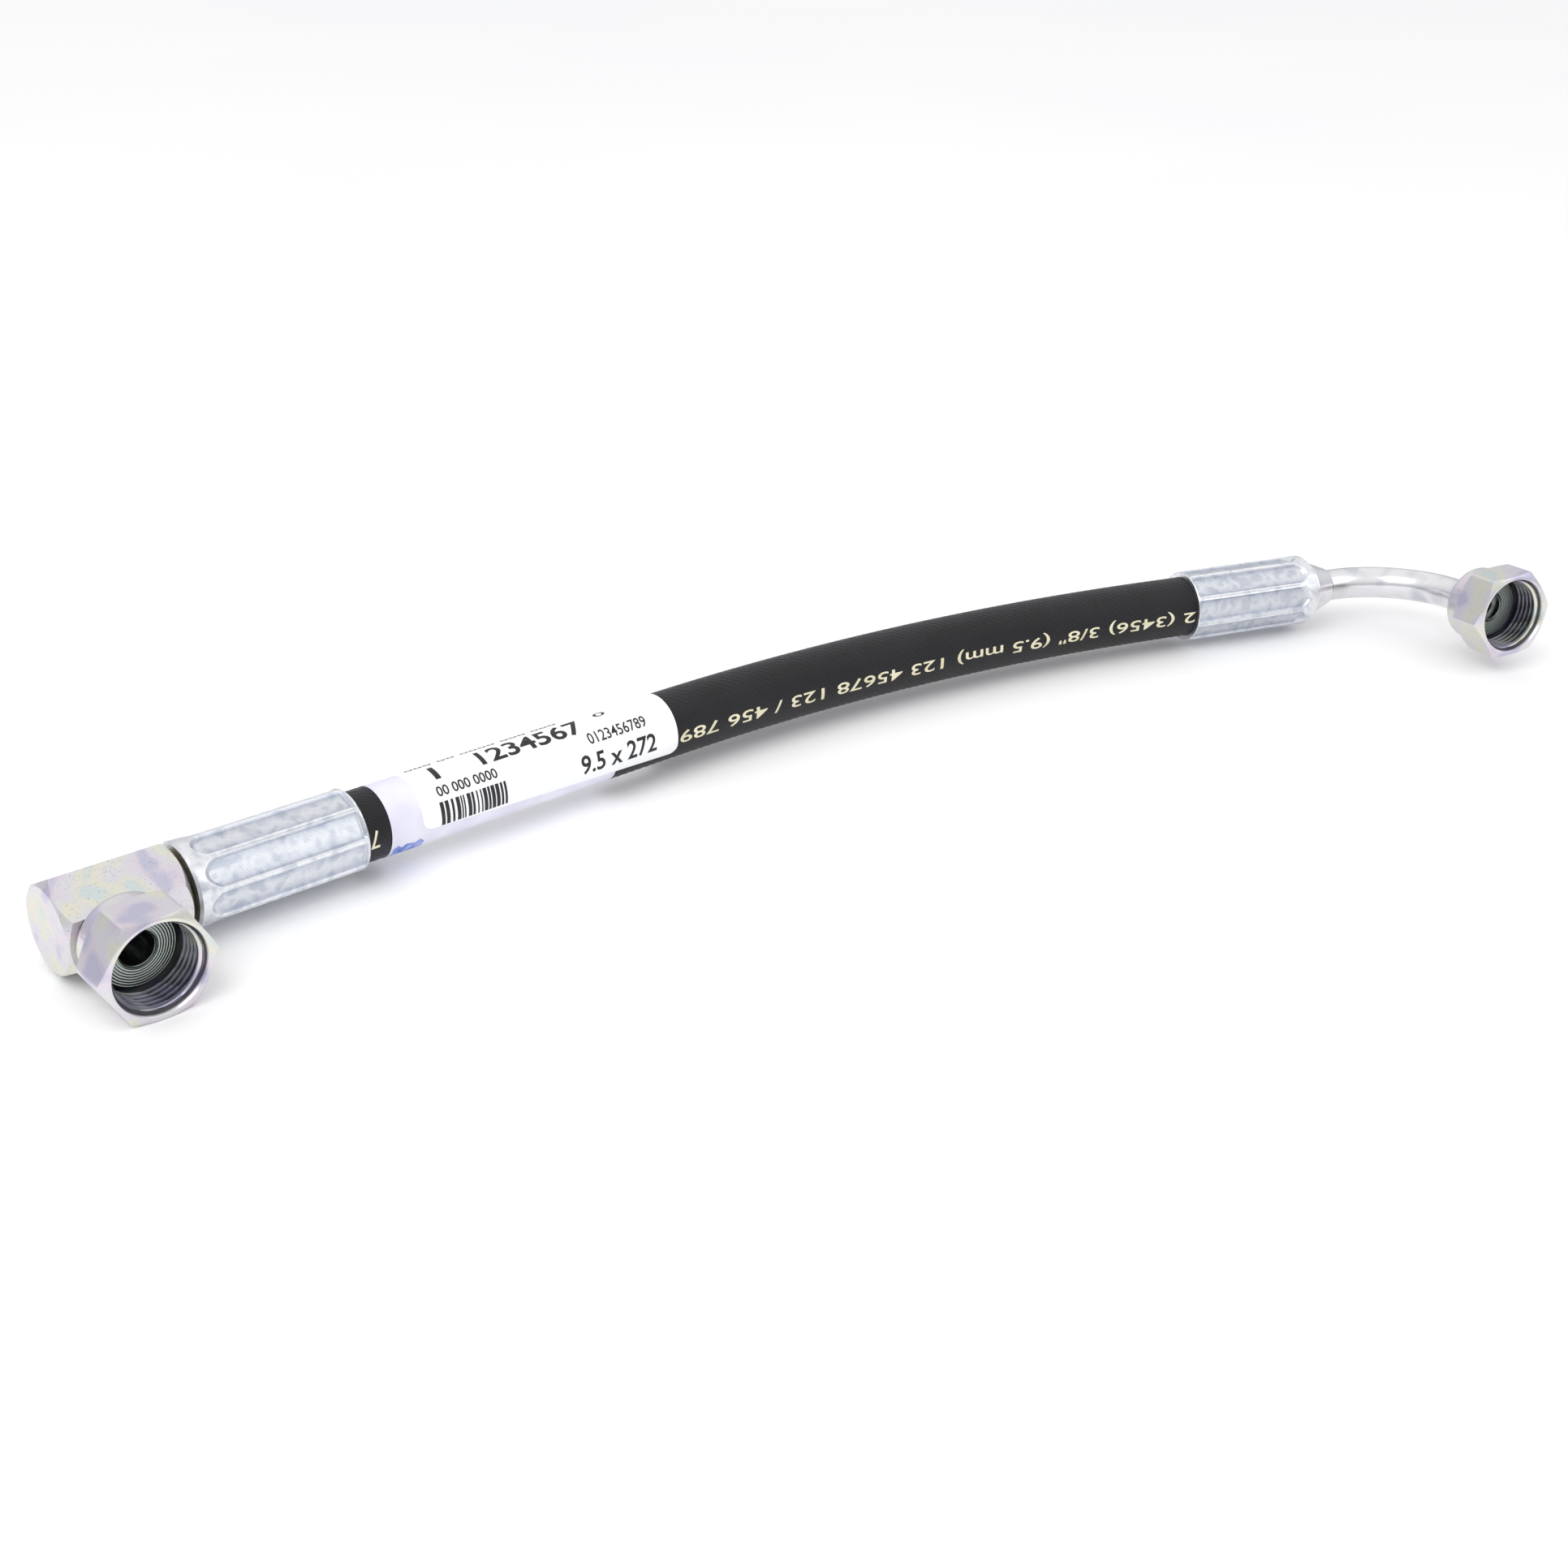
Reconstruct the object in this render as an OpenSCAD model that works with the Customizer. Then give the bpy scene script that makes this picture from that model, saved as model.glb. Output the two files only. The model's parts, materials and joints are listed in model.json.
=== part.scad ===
// Hydraulic hose assembly: one-wire-braid 3/8 in hose with a hexagon-bar block elbow at end A and a
// bent-tube elbow at end B, both closed by an O-ring face seal swivel nut, 13/16-16 UN.
// Origin: the centre of port A where its thread begins, just in front of the sealing face.
// +X runs along the elbow bar and the hose, port A opens to -Y and +Z is up. Units are millimetres.

/* [Hose] */
// Free hose between the two ferrules, along its centre line
free_hose = 272; // [230:1:340]
// Straight stretch of free hose next to ferrule A, which carries the labels
straight_a = 92; // [88:1:120]
// Straight stretch of free hose next to ferrule B
straight_b = 10; // [4:1:40]
// Angle that the hose bows through in its own plane
hose_bow = 18; // [6:1:40]
// Angle that end B's elbow is turned up about the hose, from the plane of end A's elbow
end_twist = 6.7; // [-45:0.1:45]
// Bore of the hose
hose_id = 9.5; // [7.9:0.1:11.4]
// Wall of the inner rubber tube
tube_wall = 1.8; // [1.2:0.1:2.2]
// Thickness of the steel wire braid
braid_wall = 0.8; // [0.5:0.1:1.2]
// Wall of the rubber cover
cover_wall = 1.35; // [1:0.05:2]

/* [Swivel nuts] */
// Hexagon of both nuts across the flats
nut_af = 23.8; // [23.8:0.1:30]
// Nominal thread diameter of both ports
thread_d = 20.64; // [19:0.01:21]
// Length of full thread in front of the sealing face
thread_len = 9.5; // [7:0.1:14]
// Length of the hexagon between its two chamfers
hex_len = 9.2; // [7:0.1:14]
// Angle that nut B rests at, turned about its own axis
nut_b_turn = 6.3; // [-30:0.1:30]
// Diameter of the round collar behind the hexagon
collar_d = 21.4; // [20.8:0.1:23]
// Length of the round collar
collar_len = 6; // [4:0.1:9]

/* [Noses] */
// Diameter of the flat sealing face
face_d = 17.9; // [16:0.1:18]
// Bore of the nose
nose_bore = 8.2; // [6:0.1:8.4]
// Thickness of the flange that the nut pulls on
flange_len = 4.4; // [3:0.1:6]
// Diameter of the neck behind the flange
neck_d = 13; // [12.4:0.1:14]

/* [Elbow block] */
// Hexagon bar across the flats
bar_af = 20.6; // [20.6:0.1:26]
// Bar behind the nut's axis, up to its blind end
bar_back = 11.3; // [11:0.1:16]
// Bar in front of the nut's axis, up to the hose stem
bar_front = 17.6; // [14:0.1:30]
// Gap between nut A's collar and the flat of the block
nut_gap = 0.475; // [0.3:0.005:8]

/* [Ferrules] */
// Length of each crimped ferrule
ferrule_len = 42.8; // [36:0.1:56]
// Wall of the ferrule outside the hose, at the crimp ridges
ferrule_wall = 1.55; // [1.4:0.05:2.2]
// Depth of the crimp flats below the ridges
crimp_depth = 0.55; // [0.2:0.05:0.7]
// Visible gap between the elbow block and ferrule A
ferrule_gap = 1.3; // [0.6:0.1:4]

/* [Bent tube] */
// Outside diameter of the bent tube
pipe_od = 9.5; // [7.9:0.1:11.4]
// Bore of the bent tube
pipe_id = 6.9; // [6:0.1:7.2]
// Radius of the bend on the centre line
pipe_bend = 26; // [20:0.5:40]
// Straight tube between the stem's socket and the bend
pipe_run = 4; // [2:0.5:20]
// Straight tube between the bend and the sealing face
pipe_leg = 15; // [15:0.5:40]

/* [Labels] */
// Start of the film tag, from the ferrule along the hose
film_start = 6.5; // [4:0.5:9]
// Length of the film tag
film_len = 66; // [40:1:72]
// Start of the paper label, from the ferrule along the hose
paper_start = 15; // [11:0.5:15]
// Length of the paper label
paper_len = 76.5; // [60:0.5:76.5]
// Angle that the paper label wraps through
paper_wrap = 300; // [200:5:340]

/* [Hidden] */
$fn = 96;
fit_gap = 0.02;          // between layers and pressed pieces of one body
run_gap = 0.06;          // between pieces that slide or turn on each other
nut_play = 0.1;          // swivel nut to nose, lengthways and all round the flange
film_t = 0.08;
paper_t = 0.12;
paper_low_edge = 200;    // angle of the paper's low edge round the bar, 180 being the side of the ports
cut = 1;                 // how far a cutting solid runs past the face it cuts

tube_r = hose_id / 2 + tube_wall;
braid_r = tube_r + fit_gap + braid_wall;
cover_r = braid_r + fit_gap + cover_wall;
bow_step = 0.1;          // the bow's wall lies this far inside that of the straights, on both faces
bow_lap = 0.05;          // how far each straight runs over the end of the bow
film_r = cover_r + fit_gap;
paper_r = film_r + film_t + fit_gap;

// Port: origin on the axis where the thread begins, +Z out of the mouth.
seal_recess = 0.1;       // the sealing face lies this far behind the first thread
mouth_len = 1;           // countersink in front of the thread
mouth_flare = 0.45;
relief_len = 1.5;        // thread relief, behind the first thread
relief_r = thread_d / 2 + 0.3;
nut_corner_r = nut_af / 2 / cos(30);
nut_face_r = nut_af / 2 * 0.97;          // flat ring round the mouth
front_chamfer = (nut_corner_r - nut_face_r) * tan(30);
rear_chamfer = (nut_corner_r - collar_d / 2) * tan(30);
nut_front = thread_len + mouth_len;
hex_front = nut_front - front_chamfer;
hex_rear = hex_front - hex_len;
collar_front = hex_rear - rear_chamfer;
nut_rear = collar_front - collar_len;
collar_taper = 1.6;      // rounding of the collar's rear edge, inwards and lengthways
collar_taper_len = 2.2;
flange_back = -seal_recess - flange_len;
cavity_r = face_d / 2 + nut_play * 2;
face_edge = 0.3;         // chamfers of the sealing face, outside and at its bore
face_bore_edge = 0.4;
shoulder_z = flange_back - nut_play;
socket_len = 4;          // how deep a brazed end sits in its socket

// Elbow block: the bar's axis is parallel to X, and its front flat lies behind nut A.
bar_corner_r = bar_af / 2 / cos(30);
bar_disc_r = bar_af / 2 * 0.96;
bar_chamfer = (bar_corner_r - bar_disc_r) * 0.84;
waterway_r = nose_bore / 2;
nose_socket_r = neck_d / 2 - 0.8;
block_flat = nut_gap - nut_rear;         // distance of the flat behind port A's first thread
bar_offset = block_flat + bar_af / 2;    // distance of the bar's axis
drill_short = 1;         // the long bore stops this far before the cross bore's far side
drill_tip = 2.2;         // length of the cone that the drill leaves at the blind end
nose_braze = min(0.6, nut_gap * 0.75);
stem_braze = min(0.8, ferrule_gap * 0.6);

// Stem: local +X runs into the hose, x = 0 at the ferrule's closed end.
lip_len = 2.4;           // closed end of the ferrule, locked in the stem's groove
hose_gap = 0.6;          // hose end to the ferrule's closed end
stem_wall = 1.35;        // from the stem's bore to the hose's bore
neck_rise = 1.85;        // height of the gripped neck above the hose's bore
collar_rise = 1.3;       // height of the collar above the neck
stem_bore_r = hose_id / 2 - stem_wall;
stem_groove_r = hose_id / 2 + neck_rise; // neck that the ferrule's closed end grips
stem_collar_r = stem_groove_r + collar_rise;
barb_r = hose_id / 2 - run_gap;
barb_start = 2;          // plain tail between the hose's end and the first barb
barb_pitch = 3.2;
barb_rise = 0.1;         // length of a barb's steep side
stem_tip_edge = 0.5;
tail_clear = 4;          // the tail stops at least this far inside the ferrule's open end
barb_count = floor((ferrule_len - lip_len - hose_gap - barb_start - tail_clear) / barb_pitch);
barb_step = 0.35;
hose_inset = lip_len + hose_gap;
stem_end = hose_inset + barb_start + barb_count * barb_pitch;
ferrule_cavity_r = cover_r + run_gap;
ferrule_d = 2 * (ferrule_cavity_r + ferrule_wall);
band_a = 3;              // uncrimped band at the closed end
band_b = 1.2;            // uncrimped band at the open end
band_rise = 0.08;        // closed end's band above the ridges
band_b_drop = 0.15;      // open end's band below the ridges
band_edge = 0.6;         // chamfer of the closed end
band_r = ferrule_d / 2 + band_rise;
jaws = 8;
jaw_half = 17.5;         // half angle of one crimp flat
ridge_half = 3.4;        // half angle of the ridge between two flats
groove_count = 5;        // biting grooves inside the ferrule
groove_depth = 0.35;
groove_len = 1.6;

// The route of the hose, from the elbow to end B.
ferrule_a_x = bar_front + ferrule_gap;
hose_x = ferrule_a_x + ferrule_len;
bow_x = hose_x + straight_a;
bow_len = free_hose - straight_a - straight_b;
bow_r = bow_len * 180 / PI / hose_bow;

// Stem B's socket for the bent tube, measured from the ferrule's closed end.
shoulder_len = 3;
shoulder_land = 1.6;     // round part of the shoulder, before its taper
shoulder_r = stem_collar_r + 0.6;
socket_wall = 1;
socket_b_len = 5.5;
pipe_start = -shoulder_len - socket_b_len + socket_len;
bend_start = -shoulder_len - socket_b_len - pipe_run;
pipe_braze = 0.9;

// Nose B's sleeve takes the tube up to tube_stop, both measured from port B's first thread.
tube_stop = -3;
sleeve_back = -10.5;
sleeve_edge = 0.5;

// ---- places ----

// Children along the bar's axis: local +X runs towards the hose, x = 0 at port A's axis.
module on_bar() translate([0, bar_offset, 0]) children();

// Children in the frame of port A.
module at_port_a() rotate([90, 0, 0]) children();

// Children in the frame of ferrule A's closed end, +X into the hose.
module at_ferrule_a() on_bar() translate([ferrule_a_x, 0, 0]) children();

// Children past the hose's bow, local +X along the last straight stretch.
module past_bow()
    on_bar() translate([bow_x, -bow_r, 0]) rotate([0, 0, -hose_bow]) translate([0, bow_r, 0]) children();

// Children in the frame of ferrule B's closed end, +X back into the hose.
module at_ferrule_b()
    past_bow() translate([straight_b + ferrule_len, 0, 0]) rotate([-end_twist, 0, 0])
        mirror([1, 0, 0]) children();

// Children in the frame of port B.
module at_port_b()
    at_ferrule_b() translate([bend_start - pipe_bend, -pipe_bend - pipe_leg, 0])
        rotate([90, 0, 0]) children();

// A profile in (radius, x) turned about the local X axis.
module turned() rotate([90, 0, 90]) rotate_extrude() children();

// A tube along the local X axis.
module pipe_x(x0, x1, r_in, r_out)
    translate([x0, 0, 0]) rotate([0, 90, 0]) difference() {
        cylinder(h = x1 - x0, r = r_out);
        translate([0, 0, -cut]) cylinder(h = x1 - x0 + 2 * cut, r = r_in);
    }

// ---- pieces shared by both ends ----

// Swivel nut in the port's frame: chamfered hexagon, round collar, bore and shoulder.
module swivel_nut() difference() {
    union() {
        intersection() {
            translate([0, 0, collar_front])
                cylinder(h = nut_front - collar_front, r = nut_corner_r, $fn = 6);
            rotate_extrude() polygon([
                [0, collar_front], [collar_d / 2, collar_front], [nut_corner_r, hex_rear],
                [nut_corner_r, hex_front], [nut_face_r, nut_front], [0, nut_front]]);
        }
        rotate_extrude() polygon([
            [0, collar_front], [collar_d / 2, collar_front], [collar_d / 2, nut_rear + collar_taper_len],
            [collar_d / 2 - collar_taper * 0.3, nut_rear + collar_taper_len * 0.45],
            [collar_d / 2 - collar_taper, nut_rear], [0, nut_rear]]);
    }
    rotate_extrude() polygon([
        [0, nut_rear - cut], [neck_d / 2 + run_gap, nut_rear - cut], [neck_d / 2 + run_gap, shoulder_z],
        [cavity_r, shoulder_z], [cavity_r, -relief_len], [relief_r, -relief_len], [relief_r, 0],
        [thread_d / 2, 0], [thread_d / 2, thread_len],
        [thread_d / 2 + mouth_flare, nut_front], [thread_d / 2 + mouth_flare, nut_front + cut],
        [0, nut_front + cut]]);
}

// Flanged nose in the port's frame, with a neck down to neck_end and a spigot below it.
module nose(neck_end, spigot_r, spigot_end) rotate_extrude() polygon([
    [nose_bore / 2 + face_bore_edge, -seal_recess], [face_d / 2 - face_edge, -seal_recess],
    [face_d / 2, -seal_recess - face_edge],
    [face_d / 2, flange_back], [neck_d / 2, flange_back], [neck_d / 2, neck_end],
    [spigot_r, neck_end], [spigot_r, spigot_end],
    [nose_bore / 2, spigot_end], [nose_bore / 2, -seal_recess - face_bore_edge]]);

// Outline of the crimped ferrule: eight flats with a narrow ridge between each pair.
function crimp_outline(r_ridge, r_flat) = [
    for (jaw = [0 : jaws - 1])
        let (mid = jaw * 360 / jaws + 180 / jaws)
        for (side = [[-jaw_half, r_flat], [jaw_half, r_flat],
                     [180 / jaws - ridge_half, r_ridge], [180 / jaws + ridge_half, r_ridge]])
            side[1] * [cos(mid + side[0]), sin(mid + side[0])]
];

// Crimped ferrule from its closed end at x = 0, with biting grooves inside.
module ferrule() difference() {
    union() {
        turned() polygon([
            [0, 0], [band_r - band_edge, 0], [band_r, band_edge], [band_r, band_a], [0, band_a]]);
        translate([band_a, 0, 0]) rotate([90, 0, 90]) linear_extrude(ferrule_len - band_a - band_b)
            polygon(crimp_outline(ferrule_d / 2, ferrule_d / 2 - crimp_depth));
        pipe_x(ferrule_len - band_b, ferrule_len, ferrule_cavity_r - fit_gap, ferrule_d / 2 - band_b_drop);
    }
    translate([-cut, 0, 0]) rotate([0, 90, 0]) cylinder(h = lip_len + 2 * cut, r = stem_groove_r + fit_gap);
    translate([lip_len, 0, 0]) rotate([0, 90, 0]) cylinder(h = ferrule_len, r = ferrule_cavity_r);
    for (i = [1 : groove_count])
        translate([lip_len + i * (ferrule_len - lip_len) / (groove_count + 1), 0, 0]) rotate([0, 90, 0])
            cylinder(h = groove_len, r = ferrule_cavity_r + groove_depth);
}

// Barbed tail of a stem from x = lip_len, as points of (radius, x) going into the hose.
function barbs() = [
    for (i = [0 : barb_count - 1])
        let (x = hose_inset + barb_start + i * barb_pitch)
        for (p = [[barb_r, x], [barb_r - barb_step, x + barb_pitch - barb_rise]]) p
];

// ---- end A ----

module elbow_block() color("#c9c6d0") on_bar() difference() {
    intersection() {
        translate([-bar_back, 0, 0]) rotate([0, 90, 0])
            cylinder(h = bar_back + bar_front, r = bar_corner_r, $fn = 6);
        turned() polygon([
            [0, -bar_back], [bar_disc_r, -bar_back], [bar_corner_r, bar_chamfer - bar_back],
            [bar_corner_r, bar_front - bar_chamfer], [bar_disc_r, bar_front], [0, bar_front]]);
    }
    rotate([90, 0, 0]) cylinder(h = bar_af, r = waterway_r);
    rotate([90, 0, 0]) translate([0, 0, bar_af / 2 - socket_len])
        cylinder(h = socket_len + cut, r = nose_socket_r + fit_gap);
    turned() polygon([
        [0, drill_short - waterway_r - drill_tip], [waterway_r, drill_short - waterway_r],
        [waterway_r, bar_front - socket_len],
        [stem_groove_r, bar_front - socket_len], [stem_groove_r, bar_front + cut], [0, bar_front + cut]]);
}

module nose_a() color("#aeb4ae") at_port_a()
    nose(-block_flat + fit_gap, nose_socket_r, -block_flat - socket_len + fit_gap);

module swivel_nut_a() color("#cfcbd8") at_port_a() swivel_nut();

// The stem's spigot is brazed in the bar, and its collar fills the gap in front of the ferrule.
module stem_a() color("#5a5c50") at_ferrule_a() turned() polygon(concat(
    [[stem_bore_r, -ferrule_gap - socket_len + fit_gap],
     [stem_groove_r - fit_gap, -ferrule_gap - socket_len + fit_gap],
     [stem_groove_r - fit_gap, -ferrule_gap + fit_gap], [stem_collar_r, -ferrule_gap + fit_gap],
     [stem_collar_r, -fit_gap], [stem_groove_r, -fit_gap],
     [stem_groove_r, lip_len + fit_gap], [barb_r, lip_len + fit_gap]],
    barbs(),
    [[stem_bore_r + stem_tip_edge / 2, stem_end], [stem_bore_r, stem_end - stem_tip_edge]]));

module ferrule_a() color("#b9bcc2") at_ferrule_a() ferrule();

// Ring of braze metal in a corner: leg wide and leg high, on radius r, rising from z = 0.
module braze_ring(r, leg) rotate_extrude() polygon([[r, 0], [r + leg, 0], [r, leg]]);

module braze_nose_a() color("#b08a50") at_port_a()
    translate([0, 0, fit_gap - block_flat]) braze_ring(neck_d / 2 + fit_gap, nose_braze);

module braze_stem_a() color("#b08a50") at_ferrule_a()
    translate([fit_gap - ferrule_gap, 0, 0]) rotate([0, 90, 0])
        braze_ring(stem_collar_r + fit_gap, stem_braze);

// ---- hose ----

// One layer of the hose, from inside ferrule A to inside ferrule B.
module hose_layer(r_in, r_out) {
    at_ferrule_a() pipe_x(hose_inset, ferrule_len + straight_a + bow_lap, r_in, r_out);
    on_bar() translate([bow_x, -bow_r, 0]) rotate([0, 0, 90])
        rotate_extrude(angle = -hose_bow) translate([bow_r, 0]) difference() {
            circle(r = r_out - bow_step);
            circle(r = r_in + bow_step);
        }
    past_bow() pipe_x(-bow_lap, straight_b + ferrule_len - hose_inset, r_in, r_out);
}

module hose_inner_tube() color("#1c1c1e") hose_layer(hose_id / 2, tube_r);

module hose_wire_braid() color("#8d8f93") hose_layer(tube_r + fit_gap, braid_r);

module hose_cover() color("#26272b") hose_layer(braid_r + fit_gap, cover_r);

module film_tag() color("#e6e4f2")
    on_bar() pipe_x(hose_x + film_start, hose_x + film_start + film_len, film_r, film_r + film_t);

// The paper label's lower edge is just below the side that faces the ports.
module paper_label() color("#f7f7f7")
    on_bar() translate([hose_x + paper_start, 0, 0]) rotate([90, 0, 90])
        rotate([0, 0, paper_low_edge - paper_wrap])
        rotate_extrude(angle = paper_wrap) translate([paper_r, 0]) square([paper_t, paper_len]);

// ---- end B ----

module ferrule_b() color("#b9bcc2") at_ferrule_b() ferrule();

// The shoulder tapers down to the socket that holds the bent tube.
module stem_b() color("#c3c4c8") at_ferrule_b() turned() polygon(concat(
    [[stem_bore_r, pipe_start + fit_gap], [pipe_od / 2 + fit_gap, pipe_start + fit_gap],
     [pipe_od / 2 + fit_gap, -shoulder_len - socket_b_len],
     [pipe_od / 2 + socket_wall, -shoulder_len - socket_b_len],
     [shoulder_r, -shoulder_land], [shoulder_r, -fit_gap], [stem_groove_r, -fit_gap],
     [stem_groove_r, lip_len + fit_gap], [barb_r, lip_len + fit_gap]],
    barbs(),
    [[stem_bore_r + stem_tip_edge / 2, stem_end], [stem_bore_r, stem_end - stem_tip_edge]]));

// A straight run into the socket, a quarter bend and a straight leg into the nose.
module bent_tube() color("#c6c8cb") {
    at_ferrule_b() pipe_x(bend_start, pipe_start, pipe_id / 2, pipe_od / 2);
    at_ferrule_b() translate([bend_start, -pipe_bend, 0]) rotate([0, 0, 90])
        rotate_extrude(angle = 90) translate([pipe_bend, 0]) difference() {
            circle(d = pipe_od);
            circle(d = pipe_id);
        }
    at_port_b() translate([0, 0, -pipe_leg]) difference() {
        cylinder(h = pipe_leg + tube_stop, d = pipe_od);
        translate([0, 0, -cut]) cylinder(h = pipe_leg + tube_stop + 2 * cut, d = pipe_id);
    }
}

// The nose is bored from behind for the tube.
module nose_b() color("#aeb4ae") at_port_b() difference() {
    nose(sleeve_back + sleeve_edge, neck_d / 2 - sleeve_edge, sleeve_back);
    translate([0, 0, sleeve_back - cut])
        cylinder(h = tube_stop - sleeve_back + cut + fit_gap, r = pipe_od / 2 + fit_gap);
}

// The frame of port B is mirrored, so a turn the other way there is a right-hand one about its axis.
module swivel_nut_b() color("#cfcbd8") at_port_b() rotate([0, 0, -nut_b_turn]) swivel_nut();

module braze_stem_b() color("#b08a50") at_ferrule_b()
    translate([-shoulder_len - socket_b_len - fit_gap, 0, 0]) rotate([0, -90, 0])
        braze_ring(pipe_od / 2 + fit_gap, pipe_braze);

module braze_nose_b() color("#b08a50") at_port_b()
    translate([0, 0, sleeve_back - fit_gap]) mirror([0, 0, 1]) braze_ring(pipe_od / 2 + fit_gap, pipe_braze);

elbow_block();
nose_a();
swivel_nut_a();
stem_a();
ferrule_a();
braze_nose_a();
braze_stem_a();
hose_inner_tube();
hose_wire_braid();
hose_cover();
film_tag();
paper_label();
ferrule_b();
stem_b();
bent_tube();
nose_b();
swivel_nut_b();
braze_stem_b();
braze_nose_b();
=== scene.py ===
"""Looks of a hydraulic hose assembly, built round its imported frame.

Lengths in the classes are millimetres, as on a drawing, and MM turns them to metres on the way into a mesh.
"""

import json
import logging
import math
from dataclasses import dataclass, field
from enum import Enum

import bmesh
import bpy
import numpy as np
from mathutils import Matrix, Vector


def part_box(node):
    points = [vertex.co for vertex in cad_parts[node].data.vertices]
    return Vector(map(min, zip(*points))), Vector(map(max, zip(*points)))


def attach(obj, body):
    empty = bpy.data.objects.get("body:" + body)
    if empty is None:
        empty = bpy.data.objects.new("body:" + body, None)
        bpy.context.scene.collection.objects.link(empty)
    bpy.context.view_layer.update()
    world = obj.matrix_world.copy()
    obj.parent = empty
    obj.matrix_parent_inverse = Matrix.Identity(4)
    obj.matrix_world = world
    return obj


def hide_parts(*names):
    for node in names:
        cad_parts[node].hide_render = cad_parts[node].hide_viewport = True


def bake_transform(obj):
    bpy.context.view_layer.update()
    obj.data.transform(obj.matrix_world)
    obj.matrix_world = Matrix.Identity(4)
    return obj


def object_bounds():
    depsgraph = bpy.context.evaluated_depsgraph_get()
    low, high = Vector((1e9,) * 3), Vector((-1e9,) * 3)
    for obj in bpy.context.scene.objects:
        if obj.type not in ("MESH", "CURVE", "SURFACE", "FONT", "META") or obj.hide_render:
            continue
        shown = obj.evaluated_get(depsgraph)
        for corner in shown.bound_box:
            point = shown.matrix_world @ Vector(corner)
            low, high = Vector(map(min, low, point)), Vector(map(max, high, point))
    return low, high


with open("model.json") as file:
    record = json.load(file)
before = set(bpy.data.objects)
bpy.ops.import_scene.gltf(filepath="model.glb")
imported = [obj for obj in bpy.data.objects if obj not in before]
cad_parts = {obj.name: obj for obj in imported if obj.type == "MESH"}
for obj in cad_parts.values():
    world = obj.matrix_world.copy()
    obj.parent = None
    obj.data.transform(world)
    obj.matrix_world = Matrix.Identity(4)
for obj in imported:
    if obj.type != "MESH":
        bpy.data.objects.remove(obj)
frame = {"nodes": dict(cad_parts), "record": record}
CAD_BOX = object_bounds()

Array = np.ndarray
Material = bpy.types.Material
Mesh = bpy.types.Mesh
Node = bpy.types.Node
Object = bpy.types.Object
Socket = bpy.types.NodeSocket
Tree = bpy.types.NodeTree

MM = 0.001
TURN = 2 * math.pi
UP = np.array([0.0, 0.0, 1.0])
WAVE_REPEAT = TURN / 20  # the period of a wave pattern at scale 1
LOG = logging.getLogger("hose_assembly")


class Body(Enum):
    """The rigid bodies of the frame."""

    END_A = "end_a"
    NUT_A = "nut_a"
    END_B = "end_b"
    NUT_B = "nut_b"


# ---- places and meshes ----


def unit(vector: Array) -> Array:
    """A vector made one long."""
    return np.asarray(vector, float) / np.linalg.norm(vector)


def smoothstep(low: float, high: float, value: Array) -> Array:
    """Rises from 0 at low to 1 at high as 3t^2 - 2t^3.

    Args:
        low: Where the rise starts.
        high: Where the rise ends.
        value: Where to work it out.

    Returns:
        The height of the rise at each value.
    """
    t = np.clip((value - low) / (high - low), 0, 1)
    return t * t * (3 - 2 * t)


def mount(name: str) -> dict:
    """The record's entry for a mount."""
    return next(m for m in frame["record"]["mounts"] if m["name"] == name)


@dataclass(frozen=True)
class Place:
    """A right-handed set of axes at a point, all in millimetres of the frame."""

    origin: Array
    x: Array
    y: Array
    z: Array

    @classmethod
    def at_mount(cls, name: str, plane_normal: Array) -> "Place":
        """A port's axes: z out of its mouth and y near the normal of the elbow's plane.

        Args:
            name: The mount's name in the record.
            plane_normal: A direction that y lies as close to as it can.

        Returns:
            The port's place.
        """
        port = mount(name)
        z = unit(port["axis"])
        y = unit(plane_normal - z * np.dot(plane_normal, z))
        return cls(np.array(port["pos_m"]) / MM, np.cross(y, z), y, z)

    def put(self, points: Array) -> Array:
        """Points of this place as points of the frame: origin + x * px + y * py + z * pz."""
        return self.origin + points[..., :1] * self.x + points[..., 1:2] * self.y + points[..., 2:] * self.z

    def euler(self) -> tuple[float, float, float]:
        """The turn of this place's axes, for a Mapping node."""
        return tuple(Matrix(np.stack([self.x, self.y, self.z], 1).tolist()).to_euler())


def polar(radius: Array, angle: Array, height: Array) -> Array:
    """Points (radius * cos angle, radius * sin angle, height), for arrays that broadcast together."""
    radius, angle, height = np.broadcast_arrays(radius, angle, height)
    return np.stack([radius * np.cos(angle), radius * np.sin(angle), height], -1)


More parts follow.
